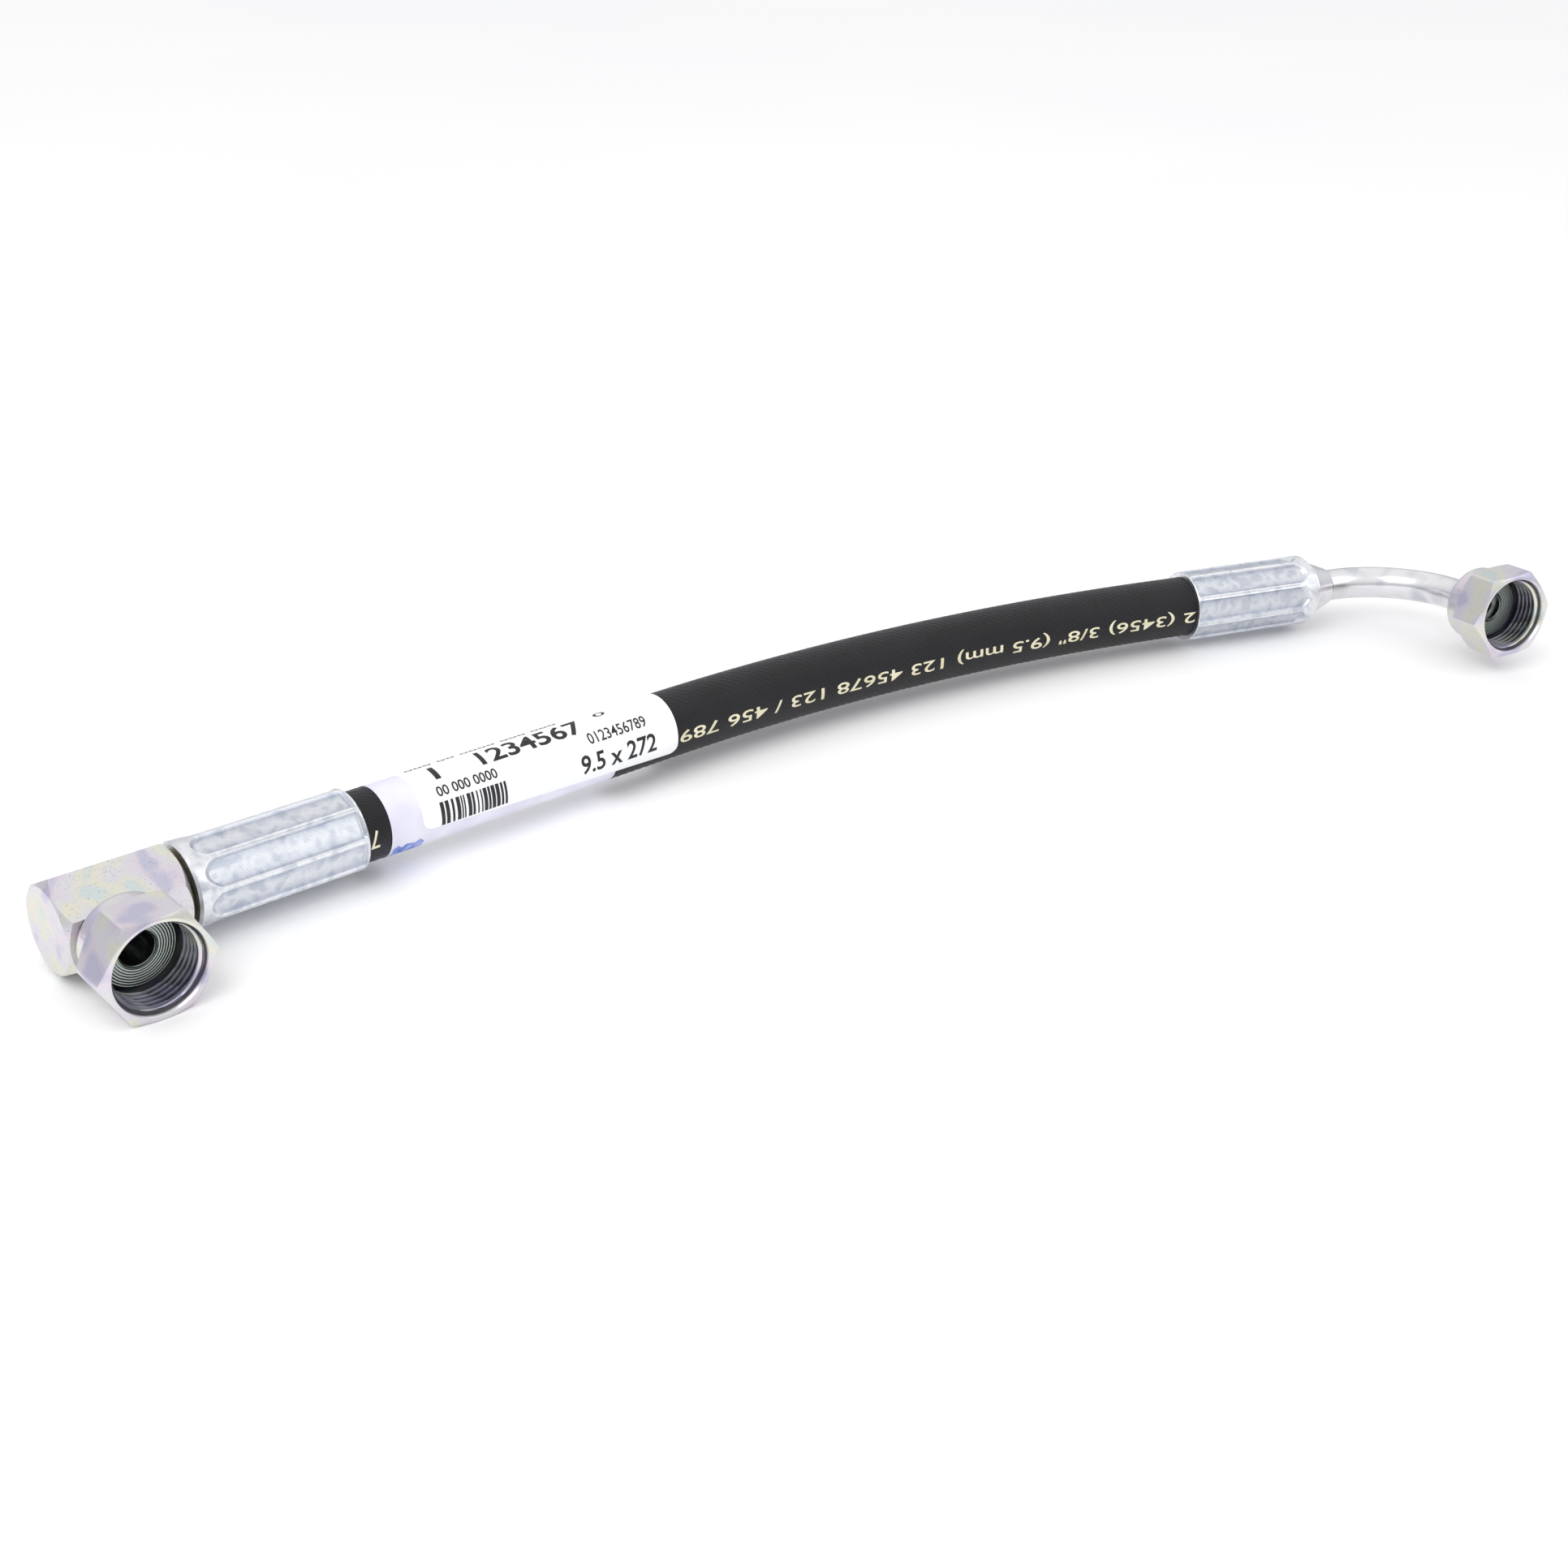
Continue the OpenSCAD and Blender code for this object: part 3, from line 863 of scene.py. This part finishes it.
LABEL_LINES = (
    LabelLine("1", height=4.6, width=1.5, weight=0.08, start=22.0, degrees=63),
    LabelLine("1234567", height=5.2, width=30.5, weight=0.16, start=35.2, degrees=61),
    LabelLine("00 000 0000", height=2.6, width=17.0, weight=0.06, start=20.4, degrees=35),
    LabelLine("0123456789", height=3.1, width=18.0, weight=0.05, start=65.0, degrees=38),
    LabelLine("9.5 x 272", height=5.0, width=23.5, weight=0.12, start=61.0, degrees=-7),
    LabelLine("0", height=1.8, width=3.6, weight=0.02, start=71.0, degrees=84),
    LabelLine("000 00 0000 000 000", height=1.4, width=44.0, weight=0.02, start=17.5, degrees=104))


@dataclass
class Labels:
    """The film tag round the hose and the paper label over most of it, with generic print."""

    route: HoseRoute
    columns: int = 72
    film_r: float = 8.76
    film_t: float = 0.08
    film_start: float = 6.5
    film_end: float = 72.0
    film_rows: int = 60
    film_seam: float = math.radians(150)
    crease_h: float = 0.02
    paper_r: float = 8.86
    paper_t: float = 0.12
    paper_start: float = 15.0
    paper_end: float = 91.5
    paper_low: float = math.radians(-18)
    paper_skew: float = math.radians(-0.22)  # the low edge drops this much for each millimetre
    paper_wrap: float = math.radians(300)
    paper_rows: int = 34
    corner: float = 2.5
    corner_rows: int = 9
    ink_gap: float = 0.01
    ink_t: float = 0.02
    bars_start: float = 20.0
    bars_end: float = 38.5
    bar_widths: tuple[float, ...] = (0.4, 0.65, 1.0)
    bar_gaps: tuple[float, ...] = (0.3, 0.4, 0.7)
    bar_degrees: tuple[float, float] = (-10, 27)
    patch_start: float = 7.2
    patch_end: float = 15.6
    patch_rows: int = 8
    patch_low: float = math.radians(-62)
    patch_gap: float = 0.045  # clears the film's creases
    pieces: list[Object] = field(default_factory=list)

    def sheet(self, name: str, s: Array, low: Array, high: Array, radius: float, thickness: float,
              lift: Array | float = 0.0) -> Object:
        """A thin closed sheet on the hose, from angle low to angle high on each row.

        Each row is a loop, out along the outer face and back along the inner one, and the first and last
        rows are drawn together at half the thickness.

        Args:
            name: The piece's name.
            s: Distance along the hose of each row.
            low: Lower angle of each row.
            high: Upper angle of each row.
            radius: Radius of the inner face.
            thickness: Thickness of the sheet.
            lift: How far each row and column stands off.

        Returns:
            The sheet.
        """
        t = np.linspace(0, 1, self.columns)
        angle = low[:, None] + (high - low)[:, None] * t
        s2 = np.broadcast_to(s[:, None], angle.shape)
        outer = self.route.surface(s2, angle, radius + thickness + lift)
        inner = self.route.surface(s2, angle, radius + lift)[:, ::-1]
        points = np.concatenate([outer, inner], 1)
        middle = (outer + inner[:, ::-1]) / 2
        seam = np.concatenate([middle, middle[:, ::-1]], 1)
        points = np.concatenate([seam[:1], points, seam[-1:]])
        piece = skin(name, points, close_rows=False)
        weld(piece)
        shade(piece)
        return piece

    def paper(self) -> Object:
        """The paper: its corners are rounded by an inset of c - sqrt(c^2 - d^2) in its edges.

        c is the corner's radius and d is how far short of c the row is from the nearer end.

        Returns:
            The sheet of paper.
        """
        quarter = np.linspace(0, math.pi / 2, self.corner_rows)
        straight = np.linspace(self.paper_start + self.corner, self.paper_end - self.corner, self.paper_rows)
        s = np.concatenate([
            self.paper_start + self.corner * (1 - np.cos(quarter)),
            straight[1:-1],
            self.paper_end - self.corner * (1 - np.cos(quarter[::-1]))])
        from_end = np.minimum(s - self.paper_start, self.paper_end - s)
        d = np.clip(self.corner - from_end, 0, self.corner)
        inset = (self.corner - np.sqrt(self.corner**2 - d**2)) / self.paper_r
        low = self.paper_low + self.paper_skew * (s - (self.paper_start + self.paper_end) / 2)
        high = low + self.paper_wrap - inset
        return self.sheet("paper_label_sheet", s, low + inset, high, self.paper_r, self.paper_t)

    def film(self) -> Object:
        """The film, wrapped all the way round, with five long slanting creases up to 0.04 mm high.

        The lift is crease_h * (1 + sin(5 angle + 0.35 s)), which fades in from 4 to 12 mm from its start.

        Returns:
            The sheet of film.
        """
        s = np.linspace(self.film_start, self.film_end, self.film_rows)
        turn = np.linspace(0, 1, self.columns) * TURN
        fade = smoothstep(4, 12, s - self.film_start)[:, None]
        crease = self.crease_h * (1 + np.sin(5 * turn + s[:, None] * 0.35)) * fade
        low = np.full_like(s, self.film_seam)
        high = low + TURN * 0.995  # its edges nearly meet
        return self.sheet("film_tag_sheet", s, low, high, self.film_r, self.film_t, crease)

    def barcode(self) -> list[Object]:
        """Plain bars of random widths, which stand for no number.

        Returns:
            The bars.
        """
        rng = np.random.default_rng(7)
        ground = self.paper_r + self.paper_t + self.ink_gap
        ends = [np.full(2, math.radians(degrees)) for degrees in self.bar_degrees]
        bars, s = [], self.bars_start
        while s < self.bars_end:
            width = float(rng.choice(self.bar_widths))
            bars.append(self.sheet("bar", np.linspace(s, s + width, 2), *ends, ground, self.ink_t))
            s += width + float(rng.choice(self.bar_gaps))
        return bars

    def print_marks(self) -> Object:
        """The black figures and bars on the paper.

        Returns:
            All of them as one object.
        """
        ground = self.paper_r + self.paper_t + self.ink_gap
        parts = self.barcode()
        for line in LABEL_LINES:
            figures = Lettering(line.text, line.height, line.width, self.ink_t, line.weight)
            parts.append(figures.wrapped(self.route, line.start, math.radians(line.degrees), ground))
        return join("label_figures", parts)

    def film_patch(self) -> Object:
        """The blue scrap printed on the film's low edge, whose upper edge waves as sin(2.1 s).

        Returns:
            The patch.
        """
        s = np.linspace(self.patch_start, self.patch_end, self.patch_rows)
        low = np.full(self.patch_rows, self.patch_low)
        high = np.radians(-27 - 4 * np.sin(s * 2.1))
        return self.sheet("film_print", s, low, high, self.film_r + self.film_t + self.patch_gap, self.ink_t)

    def build(self) -> None:
        """Makes the labels, which lie on the straight stretch and ride with end A."""
        film, paper, marks, patch = self.film(), self.paper(), self.print_marks(), self.film_patch()
        dress(film, FILM)
        dress(paper, PAPER)
        dress(marks, BLACK_INK)
        dress(patch, BLUE_INK)
        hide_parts("film_tag")
        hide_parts("paper_label")
        self.pieces = [film, paper, marks, patch]
        for piece in self.pieces:
            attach(piece, Body.END_A.value)


# ---- fittings ----


@dataclass
class SwivelNut:
    """A face seal swivel nut in its port's frame, z out of the mouth and 0 at the first thread."""

    name: str
    node: str
    body: Body
    place: Place
    turn: float = 0.0
    across_flats: float = 23.8
    thread_r: float = 10.32
    thread_len: float = 9.5
    thread_pitch: float = 25.4 / 16
    thread_depth: float = 0.86
    rows_per_pitch: int = 14
    mouth_len: float = 1.0
    mouth_flare: float = 0.45
    edge_break: float = 0.12
    face_break: tuple[float, float] = (0.1, 0.02)  # across and along, round the front face
    hex_len: float = 9.2
    face_share: float = 0.97
    chamfer: float = math.radians(30)
    collar_r: float = 10.7
    collar_len: float = 6.0
    round_len: float = 2.2  # of the collar's rounded end
    round_fall: float = 1.6
    notch_depth: float = 0.16
    notch_len: float = 3.0
    notch_apart: float = math.radians(2.5)  # from the middle of the pair
    notch_width: float = math.radians(0.8)
    neck_r: float = 6.56
    shoulder_z: float = -4.6
    cavity_r: float = 9.15
    relief_r: float = 10.62
    relief_len: float = 1.5
    relief_end: float = -0.2
    bright_len: float = 1.4  # of the thread, at the mouth, where light still reaches
    edge_sharpness: float = 70.0
    columns: int = 216

    def angles(self) -> Array:
        """Columns that crowd towards the six corners: a = t - 0.8 sin(6 t) / 6."""
        t = np.arange(self.columns) / self.columns * TURN
        return t - 0.8 * np.sin(6 * t) / 6

    def hexagon(self, angle: Array) -> Array:
        """Radius of a hexagon with slightly rounded corners at multiples of 60 degrees.

        The six flats' cosines are joined by a power mean, r = (af / 2) / (sum of cos^p)^(1 / p), whose
        corners are rounder for a smaller p.

        Args:
            angle: The angle of each column.

        Returns:
            The radius at each.
        """
        flats = np.arange(6) * TURN / 6 + TURN / 12
        cosines = np.clip(np.cos(angle[:, None] - flats), 0, None)
        return self.across_flats / 2 / (cosines**self.edge_sharpness).sum(1) ** (1 / self.edge_sharpness)

    def thread(self, angle: Array) -> tuple[Array, Array]:
        """Rows of the internal thread, from the relief outwards.

        The ridge rises inwards by depth * clip(1.7 |2 f - 1| - 0.35, 0, 1), where f is the fraction of
        z / pitch - angle / 2 pi. It fades in and out over about a millimetre at each end.

        Args:
            angle: The angle of each column.

        Returns:
            The radius and the height of each row and column.
        """
        rows = int(self.thread_len / self.thread_pitch * self.rows_per_pitch) + 1
        z = np.linspace(0, self.thread_len, rows)[:, None]
        f = (z / self.thread_pitch - angle / TURN) % 1
        ridge = np.clip(1.7 * np.abs(2 * f - 1) - 0.35, 0, 1)
        fade = smoothstep(0, 1.0, z) * smoothstep(0.5, 1.8, self.thread_len - z)
        return self.thread_r - self.thread_depth * ridge * fade, np.broadcast_to(z, f.shape)

    def notches(self, angle: Array, z: float, collar_front: float) -> Array:
        """Depth of the pairs of short nicks that the assembly jaws leave on the collar's front half.

        Each nick is a bell curve, exp(-((|a| - apart) / width)^2), with a the angle from the pair's middle.

        Args:
            angle: The angle of each column.
            z: The height of the row.
            collar_front: The height of the collar's front end.

        Returns:
            The depth at each column.
        """
        from_middle = np.abs((angle % (TURN / 6)) - TURN / 12)
        pair = np.exp(-(((from_middle - self.notch_apart) / self.notch_width) ** 2))
        return self.notch_depth * pair * (1.0 if collar_front - z < self.notch_len else 0.0)

    def build(self) -> None:
        """Makes the nut as one closed skin, row by row round its section, and paints shade over its inside.
        """
        angle = self.angles()
        hexagon = self.hexagon(angle)
        face_r = self.across_flats / 2 * self.face_share
        corner_r = self.across_flats / math.sqrt(3)
        slope = math.tan(self.chamfer)
        front = self.thread_len + self.mouth_len
        hex_rear = front - (corner_r - face_r) * slope - self.hex_len
        collar_front = hex_rear - (corner_r - self.collar_r) * slope
        rear = collar_front - self.collar_len
        mouth_r = self.thread_r + self.mouth_flare
        across, along = self.face_break
        outside = [
            (mouth_r, front - self.edge_break), (mouth_r + self.edge_break, front),
            (face_r - across, front), (face_r, front - along),
            (hexagon, front - (hexagon - face_r) * slope),
            (hexagon, hex_rear - (corner_r - hexagon) * slope),
            (self.collar_r, collar_front)]
        for z in np.linspace(collar_front, rear + self.round_len, 9):
            outside.append((self.collar_r - self.notches(angle, z, collar_front), z))
        for t in np.linspace(0, 1, 6)[1:]:
            fall = self.round_fall * (1 - math.cos(t * math.pi / 2))
            outside.append((self.collar_r - fall, rear + self.round_len * (1 - t)))
        outside.append((self.neck_r, rear))
        rows = outside + [
            (self.neck_r, self.shoulder_z), (self.cavity_r, self.shoulder_z),
            (self.cavity_r, -self.relief_len), (self.relief_r, -self.relief_len),
            (self.relief_r, self.relief_end)]
        radius = np.array([np.broadcast_to(r, angle.shape) for r, _ in rows])
        height = np.array([np.broadcast_to(z, angle.shape) for _, z in rows])
        thread_r, thread_z = self.thread(angle)
        radius, height = np.concatenate([radius, thread_r]), np.concatenate([height, thread_z])
        # The rows inside the nut, and the thread deeper than bright_len from the mouth, carry painted shade
        # through the mask.
        inside = np.concatenate([
            np.arange(len(rows)) >= len(outside), thread_z[:, 0] < self.thread_len - self.bright_len])
        points = polar(radius, angle + self.turn, height)
        piece = skin(self.name, self.place.put(points), mask=inside[:, None])
        shade(piece, 28)
        dress(piece, NUT_ZINC)
        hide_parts(self.node)
        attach(piece, self.body.value)


@dataclass
class Ferrule:
    """A crimped ferrule: eight flats pressed between ridges. x is the distance from its closed end."""

    name: str
    node: str
    body: Body
    place: Place  # its z runs from the closed end into the hose, its x to the side of the ports
    ridge_angle: float
    length: float = 42.8
    ridge_r: float = 10.35
    band_r: float = 10.43
    flat_depth: float = 0.70
    flat_half: float = math.radians(17.5)
    flat_side: tuple[float, float] = (math.radians(17.4), math.radians(19.0))  # where a flat fades out
    fold_depth: float = 0.20
    fold_width: float = math.radians(0.9)
    pocket_round: float = 2.2  # how much later a flat starts at its sides than in its middle
    band_a: float = 3.0
    band_b: float = 1.2
    mouth_drop: float = 0.18
    ripple: float = 0.03  # uneven pressing
    lip_len: float = 2.4
    neck_r: float = 6.62
    cavity_r: float = 8.80
    jaws: int = 8
    columns: int = 320

    @property
    def jaw(self) -> float:
        """The angle that one jaw covers."""
        return TURN / self.jaws

    def from_middle(self, angle: Array) -> Array:
        """The angle from the middle of the flat that it falls on."""
        return (angle - self.ridge_angle) % self.jaw - self.jaw / 2

    def outside(self, x: Array, angle: Array) -> Array:
        """Radius of the outside.

        A flat is a chord, so its radius is (ridge_r - flat_depth) cos(flat_half) / cos w with w the angle
        from its middle, which is flat_depth under the ridges at its sides. It eases in over 1.6 degrees at
        its sides and about a millimetre at its ends. Each ridge has a shallow line along its middle, where
        the metal folds between two dies.

        Args:
            x: Distance of each row from the closed end.
            angle: The angle of each column.

        Returns:
            The radius at each row and column.
        """
        w = self.from_middle(angle)
        chord = self.ridge_r - (self.ridge_r - self.flat_depth) * math.cos(self.flat_half) / np.cos(w)
        across, along = self.pressed(x, w)
        fold = self.fold_depth * np.exp(-(((self.jaw / 2 - np.abs(w)) / self.fold_width) ** 2))
        base = self.ridge_r + (self.band_r - self.ridge_r) * (1 - smoothstep(1.5, self.band_a, x))
        band = self.length - self.band_b
        end = self.mouth_drop * smoothstep(band - 0.5, band + 0.2, x)
        return base - end - along * (np.clip(chord, 0, None) * across + fold)

    def pressed(self, x: Array, w: Array) -> tuple[Array, Array]:
        """How far the dies reached.

        Args:
            x: Distance of each row from the closed end.
            w: Angle of each column from the middle of its flat.

        Returns:
            The reach across each flat and that along the ferrule, from 0 to 1 each.
        """
        across = 1 - smoothstep(*self.flat_side, np.abs(w))
        rounded = self.band_a + self.pocket_round * (w / self.flat_half) ** 2
        return across, smoothstep(-0.5, 0.9, x - rounded) * smoothstep(0.2, 1.2, self.length - x)

    def build(self) -> None:
        """Makes the ferrule as one closed skin, with its rows crowded where the flats begin and end."""
        angle = np.arange(self.columns) / self.columns * TURN
        x = np.concatenate([
            np.linspace(0.6, 7.0, 24),
            np.linspace(8.0, self.length - 3, 34),
            np.linspace(self.length - 2.6, self.length - 0.25, 16)])[:, None]
        uneven = self.ripple * np.sin(3 * angle + 0.31 * x) * np.sin(0.23 * x + 1.3)
        outer = self.outside(x, angle) + uneven
        flat_rows = [
            (outer[-1] - 0.22, self.length), (self.cavity_r, self.length), (self.cavity_r, self.lip_len),
            (self.neck_r, self.lip_len), (self.neck_r, 0.0), (self.band_r - 0.6, 0.0)]
        radius = np.concatenate([outer, [np.broadcast_to(r, angle.shape) for r, _ in flat_rows]])
        height = np.concatenate([x[:, 0], [z for _, z in flat_rows]])[:, None]
        w = self.from_middle(angle)
        across, along = self.pressed(height, w)
        # Painted shade: the mask darkens the pressed flats, least in their middles and most towards the
        # ridges.
        flat_side_shade = 0.25 + 0.75 * (w / self.flat_half) ** 2  # the flats are duller towards their sides
        points = self.place.put(polar(radius, angle, height))
        piece = skin(self.name, points, mask=across * along * flat_side_shade)
        shade(piece, 35)
        dress(piece, FERRULE_ZINC)
        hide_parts(self.node)
        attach(piece, self.body.value)


@dataclass
class Fittings:
    """Both end fittings: new skins for the nuts and ferrules, and finishes for the nodes that stay."""

    route: HoseRoute
    nut_b_turn: float = math.radians(6.3)
    ridges_a: float = math.radians(10)
    ridges_b: float = math.radians(32.5)

    def ferrule_place(self, s: float, way: int) -> Place:
        """Axes of a ferrule's closed end, with z into the hose and x to the side of the ports.

        Args:
            s: Where the closed end is along the hose.
            way: 1 where the ferrule points away from end A, and -1 where it points back.

        Returns:
            The place.
        """
        at = np.array([s])
        side, tangent = self.route.side(at)[0], self.route.tangent(at)[0]
        return Place(self.route.centre(at)[0], side, UP, way * tangent)

    def ports(self) -> tuple[Place, Place]:
        """The places of port A and port B, each with y along the upper normal of its elbow's plane.

        Returns:
            The place of port A and that of port B.
        """
        tangent = self.route.tangent(np.array([self.route.free]))[0]
        normal_b = np.cross(mount("port_b")["axis"], tangent)
        return Place.at_mount("port_a", UP), Place.at_mount("port_b", normal_b * np.sign(normal_b[2]))

    def build(self) -> None:
        """Makes the new pieces and dresses the nodes."""
        port_a, port_b = self.ports()
        SwivelNut("nut_a_threaded", "swivel_nut_a", Body.NUT_A, port_a).build()
        SwivelNut("nut_b_threaded", "swivel_nut_b", Body.NUT_B, port_b, self.nut_b_turn).build()
        closed_a = self.ferrule_place(-Ferrule.length, 1)
        closed_b = self.ferrule_place(self.route.free + Ferrule.length, -1)
        Ferrule("ferrule_a_crimped", "ferrule_a", Body.END_A, closed_a, self.ridges_a).build()
        Ferrule("ferrule_b_crimped", "ferrule_b", Body.END_B, closed_b, self.ridges_b).build()
        nodes = frame["nodes"]
        dress(nodes["elbow_block"], BLOCK_ZINC)
        dress(nodes["bent_tube"], TUBE_ZINC)
        dress(nodes["stem_b"], TUBE_ZINC)
        dress(nodes["stem_a"], OILED_STEEL)
        for name, place in (("nose_a", port_a), ("nose_b", port_b)):
            # Bare steel, faced in a lathe: grey-green rings that catch the light in turn.
            dress(nodes[name], TurnedSteel(
                name=f"turned_steel_{name}", colour="#929c95", colour_b="#c6cfc8", roughness=0.30, bump=0.10,
                place=place))
        for name in ("braze_nose_a", "braze_stem_a", "braze_stem_b", "braze_nose_b"):
            dress(nodes[name], BRAZE)


# ---- studio ----


@dataclass(frozen=True)
class Studio:
    """The camera, a pale floor, a bright room and two soft lights."""

    camera_at: tuple[float, float, float] = (-0.1579, -0.3677, 0.2355)
    heading: float = math.radians(42.73)  # from +Y towards +X
    dip: float = math.radians(26.85)
    roll: float = math.radians(-2.24)
    lens: float = 48.71
    sensor: float = 36.0
    floor_half: float = 30.0
    floor_gap: float = 0.0001  # under the lowest flats

    def camera(self) -> None:
        """Aims the camera: forward from heading and dip, then right and down turned by the roll."""
        level_share = math.cos(self.dip)
        forward = Vector((math.sin(self.heading) * level_share, math.cos(self.heading) * level_share,
                          -math.sin(self.dip)))
        level = forward.cross(Vector((0, 0, 1))).normalized()
        down = forward.cross(level)
        right = level * math.cos(self.roll) + down * math.sin(self.roll)
        up = -(down * math.cos(self.roll) - level * math.sin(self.roll))
        data = bpy.data.cameras.new("camera")
        data.lens, data.sensor_width, data.clip_start = self.lens, self.sensor, 0.01
        made = new_object("camera", data)
        turn = Matrix((right, up, -forward)).transposed()
        made.matrix_world = Matrix.Translation(self.camera_at) @ turn.to_4x4()
        bpy.context.scene.camera = made

    def floor(self) -> None:
        """A large matt white floor, just under the lowest flats."""
        low = min(CAD_BOX[0][2], 0.0) - self.floor_gap
        half = self.floor_half
        mesh = bpy.data.meshes.new("floor")
        square = [(-half, -half, low), (half, -half, low), (half, half, low), (-half, half, low)]
        mesh.from_pydata(square, [], [(0, 1, 2, 3)])
        made = new_object("floor", mesh)
        made.data.materials.append(WHITE_BOARD.make())

    def soft_light(self, name: str, at: tuple[float, float, float], size: float, power: float) -> None:
        """A square area light aimed at the middle of the object.

        Args:
            name: The light's name.
            at: Where it hangs, in metres.
            size: The length of its sides, in metres.
            power: Its power in watts.
        """
        data = bpy.data.lights.new(name, "AREA")
        data.size, data.energy = size, power
        made = new_object(name, data)
        centre = (CAD_BOX[0] + CAD_BOX[1]) / 2
        made.location = at
        made.rotation_euler = (centre - Vector(at)).to_track_quat("-Z", "Y").to_euler()

    def room(self) -> None:
        """The world: pale at the horizon and white overhead."""
        world = bpy.data.worlds.new("room")
        bpy.context.scene.world = world
        world.use_nodes = True
        tree = world.node_tree
        tree.nodes.clear()
        where = add(tree, "ShaderNodeTexCoord").outputs["Generated"]
        height = add(tree, "ShaderNodeSeparateXYZ", {0: where}).outputs["Z"]
        colour = ramp(tree, height, {0.0: "#a4a6ad", 0.22: "#dfe0e4", 0.6: "#ffffff"})
        back = add(tree, "ShaderNodeBackground", {"Color": colour, "Strength": 1.0})
        add(tree, "ShaderNodeOutputWorld", {"Surface": back.outputs[0]})

    def build(self) -> None:
        """Makes the studio."""
        self.floor()
        self.room()
        self.soft_light("key", at=(-0.5, -0.2, 0.9), size=0.8, power=4.0)
        self.soft_light("fill", at=(0.9, -0.9, 0.7), size=0.9, power=1.4)
        bpy.context.scene.view_settings.view_transform = "Standard"


def main() -> None:
    """Builds the camera, the hose, its labels, the fittings and the studio, in that order."""
    logging.basicConfig(level=logging.INFO)
    studio = Studio()
    studio.camera()
    low, high = (np.array(corner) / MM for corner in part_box("ferrule_a"))
    route = HoseRoute(mouth_x=high[0], axis_y=(low[1] + high[1]) / 2)
    hose = Hose(route)
    hose.build()
    labels = Labels(route)
    labels.build()
    Fittings(route).build()
    studio.build()


if __name__ == "__main__":
    main()
